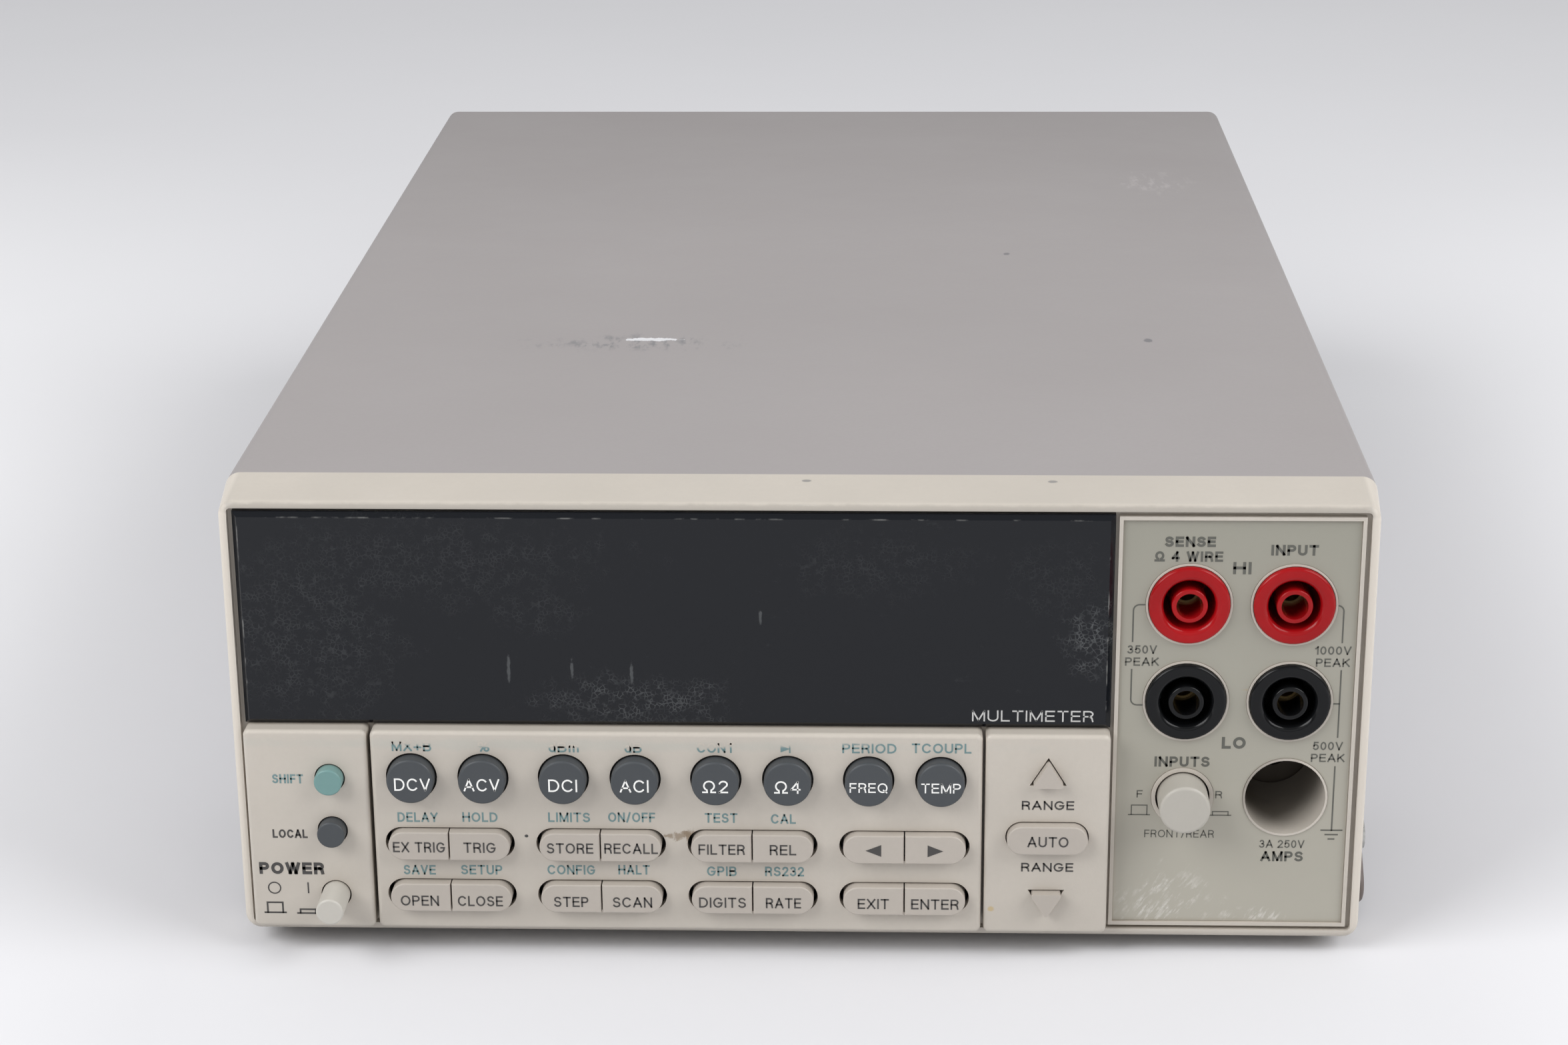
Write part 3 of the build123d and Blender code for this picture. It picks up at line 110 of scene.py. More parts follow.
# ---- node helper -----------------------------------------------------------------------------------
class Graph:
    """Short way to write a material's nodes. A value that is a socket is linked, any other is set."""

    def __init__(self, name):
        self.material = bpy.data.materials.new(name)
        self.material.use_nodes = True
        self.tree = self.material.node_tree
        self.tree.nodes.clear()
        self.place = self.add("ShaderNodeTexCoord").outputs["Object"]
        self.shader = self.add("ShaderNodeBsdfPrincipled")
        output = self.add("ShaderNodeOutputMaterial")
        self.tree.links.new(self.shader.outputs["BSDF"], output.inputs["Surface"])

    def add(self, kind, values=None, **settings):
        node = self.tree.nodes.new(kind)
        for key, value in settings.items():
            setattr(node, key, value)
        for key, value in (values or {}).items():
            self.feed(node.inputs[key], value)
        return node

    def feed(self, socket_painted_shade, value):
        if isinstance(value, bpy.types.NodeSocket):
            self.tree.links.new(value, socket_painted_shade)
        elif socket_painted_shade.type == "RGBA":
            socket_painted_shade.default_value = (*value[:3], 1.0)
        else:
            socket_painted_shade.default_value = value

    def set(self, **values):
        for key, value in values.items():
            self.feed(self.shader.inputs[key.replace("_", " ")], value)

    def along(self, axis):
        """Position along one axis, in metres."""
        return self.add("ShaderNodeSeparateXYZ", {"Vector": self.place}).outputs[axis]

    def noise(self, scale, detail=3.0, rough=0.55, stretch=None, turn=(0, 0, 0)):
        place = self.place
        if stretch:
            values = {"Vector": place, "Rotation": turn}
            mapping = self.add("ShaderNodeMapping", values, vector_type="TEXTURE")
            mapping.inputs["Scale"].default_value = [1 / factor for factor in stretch]
            place = mapping.outputs["Vector"]
        values = {"Vector": place, "Scale": scale, "Detail": detail, "Roughness": rough}
        return self.add("ShaderNodeTexNoise", values).outputs["Fac"]

    def ramp(self, value, low, high, out_low=0.0, out_high=1.0):
        values = {"Value": value, "From Min": low, "From Max": high, "To Min": out_low, "To Max": out_high}
        node = self.add("ShaderNodeMapRange", values, clamp=True)
        return node.outputs["Result"]

    def math(self, operation, first, second=0.0):
        node = self.add("ShaderNodeMath", operation=operation)
        self.feed(node.inputs[0], first)
        self.feed(node.inputs[1], second)
        return node.outputs["Value"]

    def mix(self, factor, first, second, blend="MIX"):
        node = self.add("ShaderNodeMix", data_type="RGBA", blend_type=blend)
        self.feed(node.inputs["Factor"], factor)
        self.feed(node.inputs[6], first)
        self.feed(node.inputs[7], second)
        return node.outputs[2]

    def patch(self, centre, radii, ragged=0.5, scale=400.0, soft=0.25):
        """1 inside a ragged ellipsoid at a place on the instrument, 0 outside. Radii in millimetres."""
        mapping = self.add("ShaderNodeMapping", {"Vector": self.place}, vector_type="POINT")
        middle = spot(*centre)
        sizes = [1.0 / (radius * MM) for radius in radii]
        mapping.inputs["Scale"].default_value = sizes
        mapping.inputs["Location"].default_value = [-m * s for m, s in zip(middle, sizes)]
        length = self.add("ShaderNodeVectorMath", {0: mapping.outputs["Vector"]}, operation="LENGTH")
        wander = self.ramp(self.noise(scale, 5.0, 0.65), 0.3, 0.7, -ragged, ragged)
        reach = self.math("ADD", length.outputs["Value"], wander)
        return self.ramp(reach, 1.0 - soft, 1.0 + soft, 1.0, 0.0)

    def crevice(self, distance):
        """1 deep in grooves and corners, 0 on open faces."""
        node = self.add("ShaderNodeAmbientOcclusion", {"Distance": distance * MM}, samples=4)
        return self.ramp(node.outputs["AO"], 0.35, 0.95, 1.0, 0.0)

    def edge(self, reach=0.35):
        """1 along sharp outer edges, where the solid is thin behind the surface. Reach in millimetres."""
        node = self.add("ShaderNodeAmbientOcclusion", {"Distance": reach * MM}, samples=4, inside=True)
        node.only_local = True
        return self.ramp(node.outputs["AO"], 0.45, 0.9, 1.0, 0.0)

    def bump(self, *layers):
        """Layers are (height socket, distance in millimetres), laid over each other."""
        normal = None
        for height, distance in layers:
            node = self.add("ShaderNodeBump", {"Height": height, "Distance": distance * MM, "Strength": 1.0})
            if normal is not None:
                self.tree.links.new(normal, node.inputs["Normal"])
            normal = node.outputs["Normal"]
        self.set(Normal=normal)


def shade(colour, factor):
    return tuple(channel * factor for channel in colour)


# ---- surfaces --------------------------------------------------------------------------------------
# Dirt colour that corners and grooves are mixed towards: dirt, and painted shade where it is darker than the
# surface.
DIRT_AND_SHADE = (0.29, 0.225, 0.165)
PLASTIC = (0.484, 0.445, 0.393)


def moulded(name, colour, rough=0.5, grain=0.02, grime_and_shade=DIRT_AND_SHADE, grime_shade_reach=1.0, grime_shade_share=0.35):
    """Moulded plastic: soft mottling, fine spark-eroded grain, corners and grooves mixed towards a dirt
    colour (dirt, and painted shade where that colour is darker than the plastic), edges rubbed paler.
    """
    g = Graph(name)
    broad = g.ramp(g.noise(22.0, 4.0), 0.35, 0.65)
    fine = g.ramp(g.noise(900.0, 3.0), 0.3, 0.7)
    body = g.mix(broad, shade(colour, 0.96), shade(colour, 1.04))
    body = g.mix(g.math("MULTIPLY", fine, 0.22), body, shade(colour, 0.9))
    body = g.mix(g.math("MULTIPLY", g.edge(), 0.3), body, shade(colour, 1.15))
    # Corners and grooves, found by ambient occlusion, mixed towards the dirt colour: dirt, and painted shade
    # where that colour is darker.
    dirt_and_shade = g.math("MULTIPLY", g.crevice(grime_shade_reach), g.ramp(g.noise(160.0, 5.0), 0.3, 0.62, 0.3, 1.0))
    body = g.mix(g.math("MULTIPLY", dirt_and_shade, grime_shade_share), body, grime_and_shade)
    g.set(Base_Color=body, Roughness=g.ramp(g.noise(60.0, 4.0), 0.3, 0.7, rough - 0.06, rough + 0.1))
    g.bump((g.noise(2600.0, 2.0), grain), (g.noise(35.0, 2.0), 0.05))
    return g, body


def glossy(name, colour, rough=0.2):
    """Polished insulator plastic with hairline handling marks and dust in its grooves."""
    g = Graph(name)
    broad = g.ramp(g.noise(60.0, 4.0), 0.35, 0.65)
    body = g.mix(broad, shade(colour, 0.86), shade(colour, 1.08))
    dust = g.math("MULTIPLY", g.crevice(1.2), g.ramp(g.noise(700.0, 4.0), 0.45, 0.75, 0.0, 0.12))
    body = g.mix(dust, body, (0.32, 0.27, 0.22))
    g.set(Base_Color=body, Roughness=g.ramp(g.noise(300.0, 5.0), 0.3, 0.75, rough - 0.04, rough + 0.14))
    g.set(Specular_IOR_Level=0.22)
    g.bump((g.noise(1200.0, 3.0), 0.006))
    return g, body


def metal(name, colour, rough=0.35, brushed=(1, 1, 1), grain=0.01):
    """Plated or bare metal with brushed streaks and a little staining."""
    g = Graph(name)
    streaks = g.noise(700.0, 3.0, 0.6, stretch=brushed)
    body = g.mix(g.ramp(streaks, 0.3, 0.7), shade(colour, 0.86), shade(colour, 1.08))
    stain = g.ramp(g.noise(45.0, 5.0), 0.55, 0.75, 0.0, 0.4)
    body = g.mix(stain, body, shade(colour, 0.6))
    g.set(Base_Color=body, Metallic=0.9, Roughness=g.ramp(streaks, 0.3, 0.7, rough - 0.08, rough + 0.14))
    g.bump((streaks, grain))
    return g, body


def button_surface():
    """Off-white push buttons. The inputs button is painted darker than the power button: painted shade."""
    g, body = moulded("button_surface", (0.480, 0.459, 0.416), rough=0.38, grain=0.01)
    # Painted shade: the inputs button is darkened.
    inputs = g.patch((71.6, 0, 30.0), (12, 30, 12), 0.0, 10.0, 0.1)
    g.set(Base_Color=g.mix(g.math("MULTIPLY", inputs, 0.55), body, (0.330, 0.310, 0.272)))
    return g.material


def black_surface():
    """Black mouldings with dust in their corners. The fuse socket behind its open bore is painted dark brown,
    painted shade matching the shaded bore wall around it.
    """
    dust = (0.16, 0.14, 0.12)
    g, body = moulded("black_plastic_surface", (0.02, 0.02, 0.021), 0.42, 0.015, dust, 1.0, 0.25)
    # Painted shade: the fuse socket's face is painted the brown of the shaded bore wall.
    socket_painted_shade = g.patch((90.7, 26, 30.0), (14, 6, 14), 0.0, 10.0, 0.1)
    g.set(Base_Color=g.mix(g.math("MULTIPLY", socket_painted_shade, 0.9), body, (0.120, 0.100, 0.078)))
    return g.material


def bezel_surface():
    """The face: a painted shadow deep in the fuse bore, painted shade along the rim's front lip, painted
    light on its outer sides, and a few marks of use on its top and between keys.
    """
    g, body = moulded("bezel_surface", PLASTIC, rough=0.42)
    # Painted shadow: the fuse bore darkened deep inside.
    bore_painted_shadow = g.patch((84.0, 17, 32.5), (11.5, 17.5, 12), 0.05, 100.0, 0.35)
    body = g.mix(g.math("MULTIPLY", bore_painted_shadow, 0.9), body, (0.070, 0.056, 0.042))
    # Painted shade: a darker band along the rounded front lip of the rim.
    lip_painted_shade = g.patch((0, 0, 86.4), (400, 1.2, 1.0), 0.15, 300.0, 0.25)
    body = g.mix(g.math("MULTIPLY", lip_painted_shade, 0.9), body, shade(PLASTIC, 0.73))
    # Painted light: the rim's outer sides are painted paler.
    paler_band = g.ramp(g.math("ABSOLUTE", g.along("X")), 103.6 * MM, 104.4 * MM)
    body = g.mix(g.math("MULTIPLY", paler_band, 0.55), body, shade(PLASTIC, 1.35))
    smear = g.patch((-36, PANEL_DEPTH, 41.3), (58, 2, 0.9), 0.5, 200.0, 0.5)
    body = g.mix(g.math("MULTIPLY", smear, 0.10), body, (0.20, 0.34, 0.34))
    for x in (46.8, 1.7):
        nick = g.patch((x, 10.2, 88.3), (0.9, 0.55, 1.5), 0.1, 900.0, 0.15)
        body = g.mix(g.math("MULTIPLY", nick, 0.7), body, (0.16, 0.16, 0.16))
    for x, height, radii in ((-21.8, 23.2, (2.6, 2.0, 0.8)), (-19.9, 23.0, (1.3, 2.0, 1.1))):
        residue = g.patch((x, PANEL_DEPTH, height), radii, 0.7, 700.0, 0.2)
        body = g.mix(g.math("MULTIPLY", residue, 0.75), body, (0.21, 0.155, 0.10))
    speck = g.patch((-50.7, PANEL_DEPTH, 22.8), (0.35, 1.0, 0.3), 0.1, 900.0, 0.2)
    body = g.mix(speck, body, (0.04, 0.04, 0.04))
    stain = g.patch((36.2, PANEL_DEPTH, 8.5), (0.6, 1.0, 0.5), 0.2, 900.0, 0.3)
    body = g.mix(g.math("MULTIPLY", stain, 0.7), body, (0.45, 0.33, 0.14))
    g.set(Base_Color=body)
    return g.material


def cover_surface():
    """Satin grey paint over steel, chipped and scuffed on top, faintly dished where it was pressed."""
    g = Graph("cover_surface")
    paint = (0.315, 0.293, 0.291)
    broad = g.ramp(g.noise(9.0, 3.0), 0.35, 0.65)
    body = g.mix(broad, shade(paint, 0.975), shade(paint, 1.02))
    # Painted shade: the paint darkens towards the back.
    rear_painted_shade = g.ramp(g.along("Y"), 0.02, 0.17)
    body = g.mix(rear_painted_shade, body, shade(paint, 0.84))
    speck = g.ramp(g.noise(1500.0, 2.0), 0.3, 0.7)
    body = g.mix(g.math("MULTIPLY", speck, 0.2), body, shade(paint, 0.9))
    threads = g.ramp(g.noise(420.0, 5.0, 0.7, stretch=(1.0, 0.35, 1.0)), 0.5, 0.62)
    smear = g.math("MULTIPLY", g.patch((-36, 98.5, 88.9), (16, 4.5, 4), 0.6, 300.0, 0.5), threads)
    body = g.mix(g.math("MULTIPLY", smear, 0.6), body, (0.12, 0.13, 0.14))
    scuff = g.math("MULTIPLY", g.patch((83, 242, 88.9), (7, 9, 4), 0.7, 200.0, 0.5), threads)
    body = g.mix(g.math("MULTIPLY", scuff, 0.4), body, shade(paint, 1.5))
    chip = g.patch((-33.5, 101.3, 88.9), (5.2, 1.15, 3), 0.5, 420.0, 0.06)
    body = g.mix(chip, body, (0.85, 0.85, 0.87))
    for x, depth, radius in ((70.8, 101.4, 0.9), (43.4, 172.2, 0.7)):
        spot_mark = g.patch((x, depth, 88.9), (radius, radius * 1.5, 2), 0.2, 900.0, 0.2)
        body = g.mix(g.math("MULTIPLY", spot_mark, 0.75), body, (0.13, 0.13, 0.14))
    body = g.mix(g.math("MULTIPLY", g.edge(), 0.35), body, shade(paint, 1.3))
    g.set(Base_Color=body, Roughness=g.ramp(g.noise(24.0, 4.0), 0.3, 0.7, 0.42, 0.54))
    g.set(Metallic=g.math("MULTIPLY", chip, 0.5), Specular_IOR_Level=0.4)
    dent = g.patch((-20, 250, 88.9), (70, 36, 30), 0.1, 8.0, 0.9)
    g.bump((g.noise(1400.0, 2.0), 0.012), (g.noise(6.0, 1.0), 0.6), (dent, -0.8), (chip, -0.08))
    return g.material


def lens_surface():
    """Smoked window: glossy, finely crazed in patches, with hairline rubs and pale broken lines along its
    bevel's edges.
    """
    g = Graph("lens_surface")
    tint = (0.0052, 0.0062, 0.0086)
    face = LENS_DEPTH
    cells = g.add("ShaderNodeTexVoronoi", {"Vector": g.place, "Scale": 1250.0}, feature="DISTANCE_TO_EDGE")
    cracks = g.ramp(cells.outputs["Distance"], 0.03, 0.13, 1.0, 0.0)
    patches = [
        ((-90, face, 62), (14, 3, 14), 0.26),
        ((-68, face, 76), (28, 3, 7), 0.20),
        ((-48, face, 67), (7, 3, 4), 0.20),
        ((-30, face, 49), (14, 3, 4.5), 0.70),
        ((54, face, 61.5), (4.5, 3, 5.5), 1.0),
        ((15, face, 76), (14, 3, 5), 0.16),
        ((48, face, 73), (8, 3, 6), 0.14),
    ]
    crazed = 0.0
    for centre, radii, weight in patches:
        area = g.math("MULTIPLY", g.patch(centre, radii, 0.5, 240.0, 0.4), weight)
        crazed = g.math("MAXIMUM", crazed, area)
    broken = g.ramp(g.noise(520.0, 4.0), 0.40, 0.60)
    haze = g.math("MULTIPLY", g.math("MULTIPLY", cracks, broken), crazed)
    hairs = g.ramp(g.noise(520.0, 6.0, 0.75, stretch=(0.35, 1.0, 1.0)), 0.63, 0.72)
    everywhere = g.ramp(g.noise(45.0, 4.0), 0.45, 0.7, 0.0, 0.3)
    marks = g.math("MAXIMUM", haze, g.math("MULTIPLY", hairs, everywhere))
    for x, height, lean in ((-53.2, 55.6, 2.4), (-41.5, 55.3, 1.8), (-30.5, 54.7, 1.7), (-6.6, 65.8, 1.2)):
        rub = g.patch((x, face, height), (0.28, 2.0, lean), 0.5, 900.0, 0.3)
        marks = g.math("MAXIMUM", marks, g.math("MULTIPLY", rub, 0.8))
    body = g.mix(g.math("MULTIPLY", marks, 0.085), tint, (0.75, 0.79, 0.8))
    # Pale broken lines along the bevel's edges.
    low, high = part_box("display_lens")
    bevel = 0.95 * MM
    rim = 0.0
    for axis, value in (("Z", high.z - bevel), ("X", low.x + bevel), ("X", high.x - bevel)):
        away = g.math("ABSOLUTE", g.math("SUBTRACT", g.along(axis), value))
        rim = g.math("MAXIMUM", rim, g.ramp(away, 0.06 * MM, 0.16 * MM, 1.0, 0.0))
    rim = g.math("MULTIPLY", rim, g.ramp(g.noise(260.0, 5.0), 0.50, 0.66))
    body = g.mix(g.math("MULTIPLY", rim, 0.25), body, (0.45, 0.45, 0.43))
    g.set(Base_Color=body, Roughness=g.ramp(marks, 0.0, 1.0, 0.12, 0.5), Specular_IOR_Level=0.3)
    g.bump((marks, 0.008), (g.noise(14.0, 1.0), 0.03))
    return g.material


def label_surface():
    """Printed film: pale grey green, painted darker towards its top as shade, scuffed white below, with
    painted shade and dirt in its corners.
    """
    g = Graph("label_surface")
    film = (0.372, 0.353, 0.300)
    # Painted shade: the film is darkened towards its top.
    top_painted_shade = g.ramp(g.along("Z"), CASE_Z + 10 * MM, CASE_Z + 85 * MM)
    broad = g.ramp(g.noise(18.0, 4.0), 0.35, 0.65)
    body = g.mix(broad, shade(film, 0.97), shade(film, 1.03))
    body = g.mix(top_painted_shade, body, (0.272, 0.264, 0.221))
    turned = g.noise(1100.0, 5.0, 0.7, stretch=(1.0, 1.0, 0.22), turn=(0, math.radians(35), 0))
    threads = g.math("MULTIPLY", g.ramp(turned, 0.50, 0.62), g.ramp(g.noise(300.0, 4.0), 0.40, 0.60))
    for centre, radii, weight in (((69, 0.8, 9.3), (7.5, 3, 4.8), 0.60), ((86, 0.8, 5.8), (5, 3, 1.3), 0.55)):
        area = g.math("MULTIPLY", g.patch(centre, radii, 0.5, 400.0, 0.5), threads)
        body = g.mix(g.math("MULTIPLY", area, weight), body, (0.74, 0.73, 0.70))
    hair = g.patch((83.3, 0.8, 51.5), (1.3, 2, 0.25), 0.4, 900.0, 0.3)
    body = g.mix(g.math("MULTIPLY", hair, 0.5), body, (0.33, 0.27, 0.18))
    # Painted shade and dirt: corners and grooves darkened towards the dirt colour.
    body = g.mix(g.math("MULTIPLY", g.crevice(0.8), 0.35), body, DIRT_AND_SHADE)
    g.set(Base_Color=body, Roughness=g.ramp(g.noise(90.0, 4.0), 0.3, 0.7, 0.40, 0.55))
    g.bump((g.noise(3000.0, 1.0), 0.006))
    return g.material


def ink(name, colour, paler_band=None):
    """Screen-printed ink, a little thin and uneven, and worn back to the plastic in one band."""
    g = Graph(name)
    thin = g.ramp(g.noise(1600.0, 4.0), 0.5, 0.8, 0.0, 0.25)
    body = g.mix(thin, colour, shade(colour, 1.3))
    if paler_band:
        body = g.mix(g.patch(*paler_band, 0.12, 300.0, 0.12), body, PLASTIC)
    g.set(Base_Color=body, Roughness=0.6)
    g.bump((g.noise(2500.0, 1.0), 0.004))
    return g.material


def floor_surface():
    """Paper sweep, faintly blotched, painted paler towards the back and much paler out to both sides in
    front: painted light.
    """
    g = Graph("floor_surface")
    # Painted light: the sweep is paler out to both sides and towards the back.
    aside = g.ramp(g.math("ABSOLUTE", g.along("X")), 0.12, 0.32)
    ahead = g.ramp(g.along("Y"), 0.10, 0.55, 1.0, 0.0)
    middle = g.mix(ahead, (0.750, 0.750, 0.772), (0.676, 0.676, 0.698))
    body = g.mix(g.math("MULTIPLY", aside, ahead), middle, (0.945, 0.945, 0.962))
    blotch = g.ramp(g.noise(5.0, 4.0), 0.35, 0.65, 0.0, 0.04)
    body = g.mix(blotch, body, (0.5, 0.5, 0.51))
    g.set(Base_Color=body, Roughness=0.75)
    g.bump((g.noise(40.0, 3.0), 0.1))
    return g.material


# slot, material, colour, roughness, grain, colour of the dirt and painted shade in corners, its reach from
# corners, its share
MOULDED = (
    ("rear_plastic", "rear_surface", (0.085, 0.075, 0.07), 0.5, 0.03, (0.2, 0.18, 0.15), 2.0, 0.3),
    ("ear_plastic", "ear_surface", (0.13, 0.105, 0.095), 0.5, 0.03, (0.22, 0.2, 0.17), 1.0, 0.3),
    ("foot_rubber", "foot_surface", (0.03, 0.03, 0.03), 0.75, 0.05, (0.1, 0.09, 0.08), 1.0, 0.3),
    ("key_dark", "dark_key_surface", (0.046, 0.052, 0.058), 0.50, 0.012, (0.05, 0.045, 0.04), 0.8, 0.5),
    ("key_light", "light_key_surface", (0.410, 0.372, 0.330), 0.42, 0.012, DIRT_AND_SHADE, 0.5),
    ("key_teal", "teal_key_surface", (0.140, 0.262, 0.252), 0.42, 0.012),
    ("silicone", "silicone_surface", (0.5, 0.5, 0.47), 0.6, 0.01),
    ("component", "component_surface", (0.03, 0.03, 0.032), 0.45, 0.01),
)
# slot, material, colour, roughness
GLOSSY = (
    ("jack_red", "red_jack_surface", (0.315, 0.004, 0.006), 0.13),
    ("jack_black", "black_jack_surface", (0.0045, 0.0048, 0.0054), 0.13),
    ("board_green", "board_surface", (0.03, 0.16, 0.07), 0.3),
    ("tube_glass", "tube_surface", (0.05, 0.07, 0.07), 0.1),
    ("coil_tape", "coil_surface", (0.72, 0.50, 0.10), 0.3),
)
# slot, material, colour, roughness, scale of the brushing along each axis
METAL = (
    ("chassis_steel", "chassis_surface", (0.62, 0.61, 0.58), 0.38, (0.2, 1, 1)),
    # The brass is darker than clean brass: dust, and painted shade for the deep jack bores.
    ("contact_brass", "contact_surface", (0.40, 0.28, 0.12), 0.34),
    ("core_iron", "core_surface", (0.22, 0.21, 0.20), 0.5, (1, 0.05, 1)),
    ("plated_shell", "shell_surface", (0.72, 0.71, 0.68), 0.3, (0.1, 1, 1)),
    ("screw_steel", "screw_surface", (0.60, 0.60, 0.58), 0.32),
)
surfaces = {
    "bezel_plastic": bezel_surface(),
    "lens_plastic": lens_surface(),
    "label_film": label_surface(),
    "cover_paint": cover_surface(),
    "button_white": button_surface(),
    "black_plastic": black_surface(),
}
for make, rows in ((moulded, MOULDED), (glossy, GLOSSY), (metal, METAL)):
    for slot, *values in rows:
        surfaces[slot] = make(*values)[0].material
for part in frame["record"]["subparts"]:
    node = frame["nodes"][part["node"]]
    node.data.materials.clear()
    node.data.materials.append(surfaces[part["material_slot"]])

inks = {
    "dark": ink("dark_ink", (0.050, 0.047, 0.045)),
    "grey": ink("grey_ink", (0.094, 0.094, 0.081)),
    "teal": ink("teal_ink", (0.142, 0.228, 0.234), ((-38, PANEL_DEPTH, 42.6), (51, 3, 1.8))),
    "white": ink("white_ink", (0.80, 0.80, 0.78)),
    "pale": ink("pale_ink", (0.50, 0.50, 0.49)),
}


# ---- lettering: plain sans letters drawn as strokes ------------------------------------------------
def bow(x, y, rx, ry, start, end):
    """Points along an arc of an ellipse, between two angles in degrees."""
    steps = max(2, round(abs(end - start) / 18))
    turns = [math.radians(start + (end - start) * step / steps) for step in range(steps + 1)]
    return [(x + rx * math.cos(turn), y + ry * math.sin(turn)) for turn in turns]


# each glyph: its width, and its strokes, for a height of 1
GLYPHS = {
    "A": (0.74, [[(0, 0), (0.37, 1), (0.74, 0)], [(0.12, 0.32), (0.62, 0.32)]]),
    "B": (0.64, [
        [(0, 0), (0, 1), *bow(0.36, 0.765, 0.22, 0.235, 90, -90), (0, 0.53)],
        [(0, 0.53), *bow(0.37, 0.265, 0.26, 0.265, 90, -90), (0, 0)],
    ]),
    "C": (0.74, [bow(0.39, 0.5, 0.39, 0.5, 42, 318)]),
    "D": (0.70, [[(0, 0), (0, 1), *bow(0.28, 0.5, 0.42, 0.5, 90, -90), (0, 0)]]),
    "E": (0.56, [[(0.56, 0), (0, 0), (0, 1), (0.56, 1)], [(0, 0.52), (0.52, 0.52)]]),
    "F": (0.53, [[(0, 0), (0, 1), (0.53, 1)], [(0, 0.5), (0.48, 0.5)]]),
    "G": (0.78, [[*bow(0.39, 0.5, 0.39, 0.5, 42, 325), (0.76, 0.46), (0.44, 0.46)]]),
    "H": (0.66, [[(0, 0), (0, 1)], [(0.66, 0), (0.66, 1)], [(0, 0.52), (0.66, 0.52)]]),
    "I": (0.0, [[(0, 0), (0, 1)]]),
    "K": (0.64, [[(0, 0), (0, 1)], [(0.60, 1), (0, 0.36)], [(0.22, 0.60), (0.64, 0)]]),
    "L": (0.50, [[(0, 1), (0, 0), (0.50, 0)]]),
    "M": (0.78, [[(0, 0), (0, 1), (0.39, 0.04), (0.78, 1), (0.78, 0)]]),
    "N": (0.66, [[(0, 0), (0, 1), (0.66, 0), (0.66, 1)]]),
    "O": (0.80, [bow(0.40, 0.5, 0.40, 0.5, 0, 360)]),
    "P": (0.58, [[(0, 0), (0, 1), *bow(0.33, 0.73, 0.25, 0.27, 90, -90), (0, 0.46)]]),
    "Q": (0.80, [bow(0.40, 0.5, 0.40, 0.5, 0, 360), [(0.50, 0.24), (0.78, -0.04)]]),
    "R": (0.62, [
        [(0, 0), (0, 1), *bow(0.35, 0.74, 0.25, 0.26, 90, -90), (0, 0.48)],
        [(0.36, 0.48), (0.54, 0.34), (0.60, 0)],
    ]),
    "S": (0.60, [[*bow(0.30, 0.755, 0.27, 0.245, 25, 250), *bow(0.30, 0.26, 0.30, 0.26, 70, -155)]]),
    "T": (0.64, [[(0, 1), (0.64, 1)], [(0.32, 1), (0.32, 0)]]),
    "U": (0.64, [[(0, 1), *bow(0.32, 0.32, 0.32, 0.32, 180, 360), (0.64, 1)]]),
    "V": (0.68, [[(0, 1), (0.34, 0), (0.68, 1)]]),
    "W": (1.00, [[(0, 1), (0.25, 0), (0.50, 1), (0.75, 0), (1.00, 1)]]),
    "X": (0.66, [[(0, 0), (0.66, 1)], [(0, 1), (0.66, 0)]]),
    "Y": (0.68, [[(0, 1), (0.34, 0.44), (0.68, 1)], [(0.34, 0.44), (0.34, 0)]]),
    "d": (0.46, [[(0.46, 0), (0.46, 1)], bow(0.23, 0.36, 0.23, 0.36, 0, 360)]),
    "m": (0.72, [
        [(0, 0), (0, 0.72)], [*bow(0.18, 0.54, 0.18, 0.18, 180, 0), (0.36, 0)],
        [*bow(0.54, 0.54, 0.18, 0.18, 180, 0), (0.72, 0)],
    ]),
    "0": (0.52, [bow(0.26, 0.5, 0.26, 0.5, 0, 360)]),
    "1": (0.22, [[(0, 0.76), (0.22, 1), (0.22, 0)]]),
    "2": (0.52, [[*bow(0.26, 0.73, 0.25, 0.27, 165, -30), (0, 0), (0.52, 0)]]),
    "3": (0.52, [[*bow(0.25, 0.76, 0.22, 0.24, 150, -80), *bow(0.25, 0.27, 0.27, 0.27, 80, -155)]]),
    "4": (0.56, [[(0.42, 0), (0.42, 1), (0, 0.30), (0.56, 0.30)]]),
    "5": (0.52, [[(0.47, 1), (0.09, 1), (0.04, 0.50), *bow(0.25, 0.33, 0.27, 0.33, 125, -150)]]),
    "Ω": (0.80, [[(0, 0), (0.27, 0), *bow(0.40, 0.58, 0.34, 0.42, 245, -65), (0.53, 0), (0.80, 0)]]),
    "+": (0.56, [[(0, 0.4), (0.56, 0.4)], [(0.28, 0.12), (0.28, 0.68)]]),
    "/": (0.34, [[(0, -0.05), (0.34, 1.05)]]),
    "%": (0.86, [
        bow(0.18, 0.77, 0.18, 0.23, 0, 360), bow(0.68, 0.23, 0.18, 0.23, 0, 360), [(0.20, 0), (0.66, 1)],
    ]),
    " ": (0.10, []),
}
LETTER_GAP = 0.17           # between letters, as a share of their height
SHARP_TURN = -0.3           # a stroke is cut where the cosine of its turn is below this
MITRE_LIMIT = 0.6
SIGN_HALF, SIGN_LEDGE = 1.45, 0.5       # sign of a push button: half its box, and its ledge


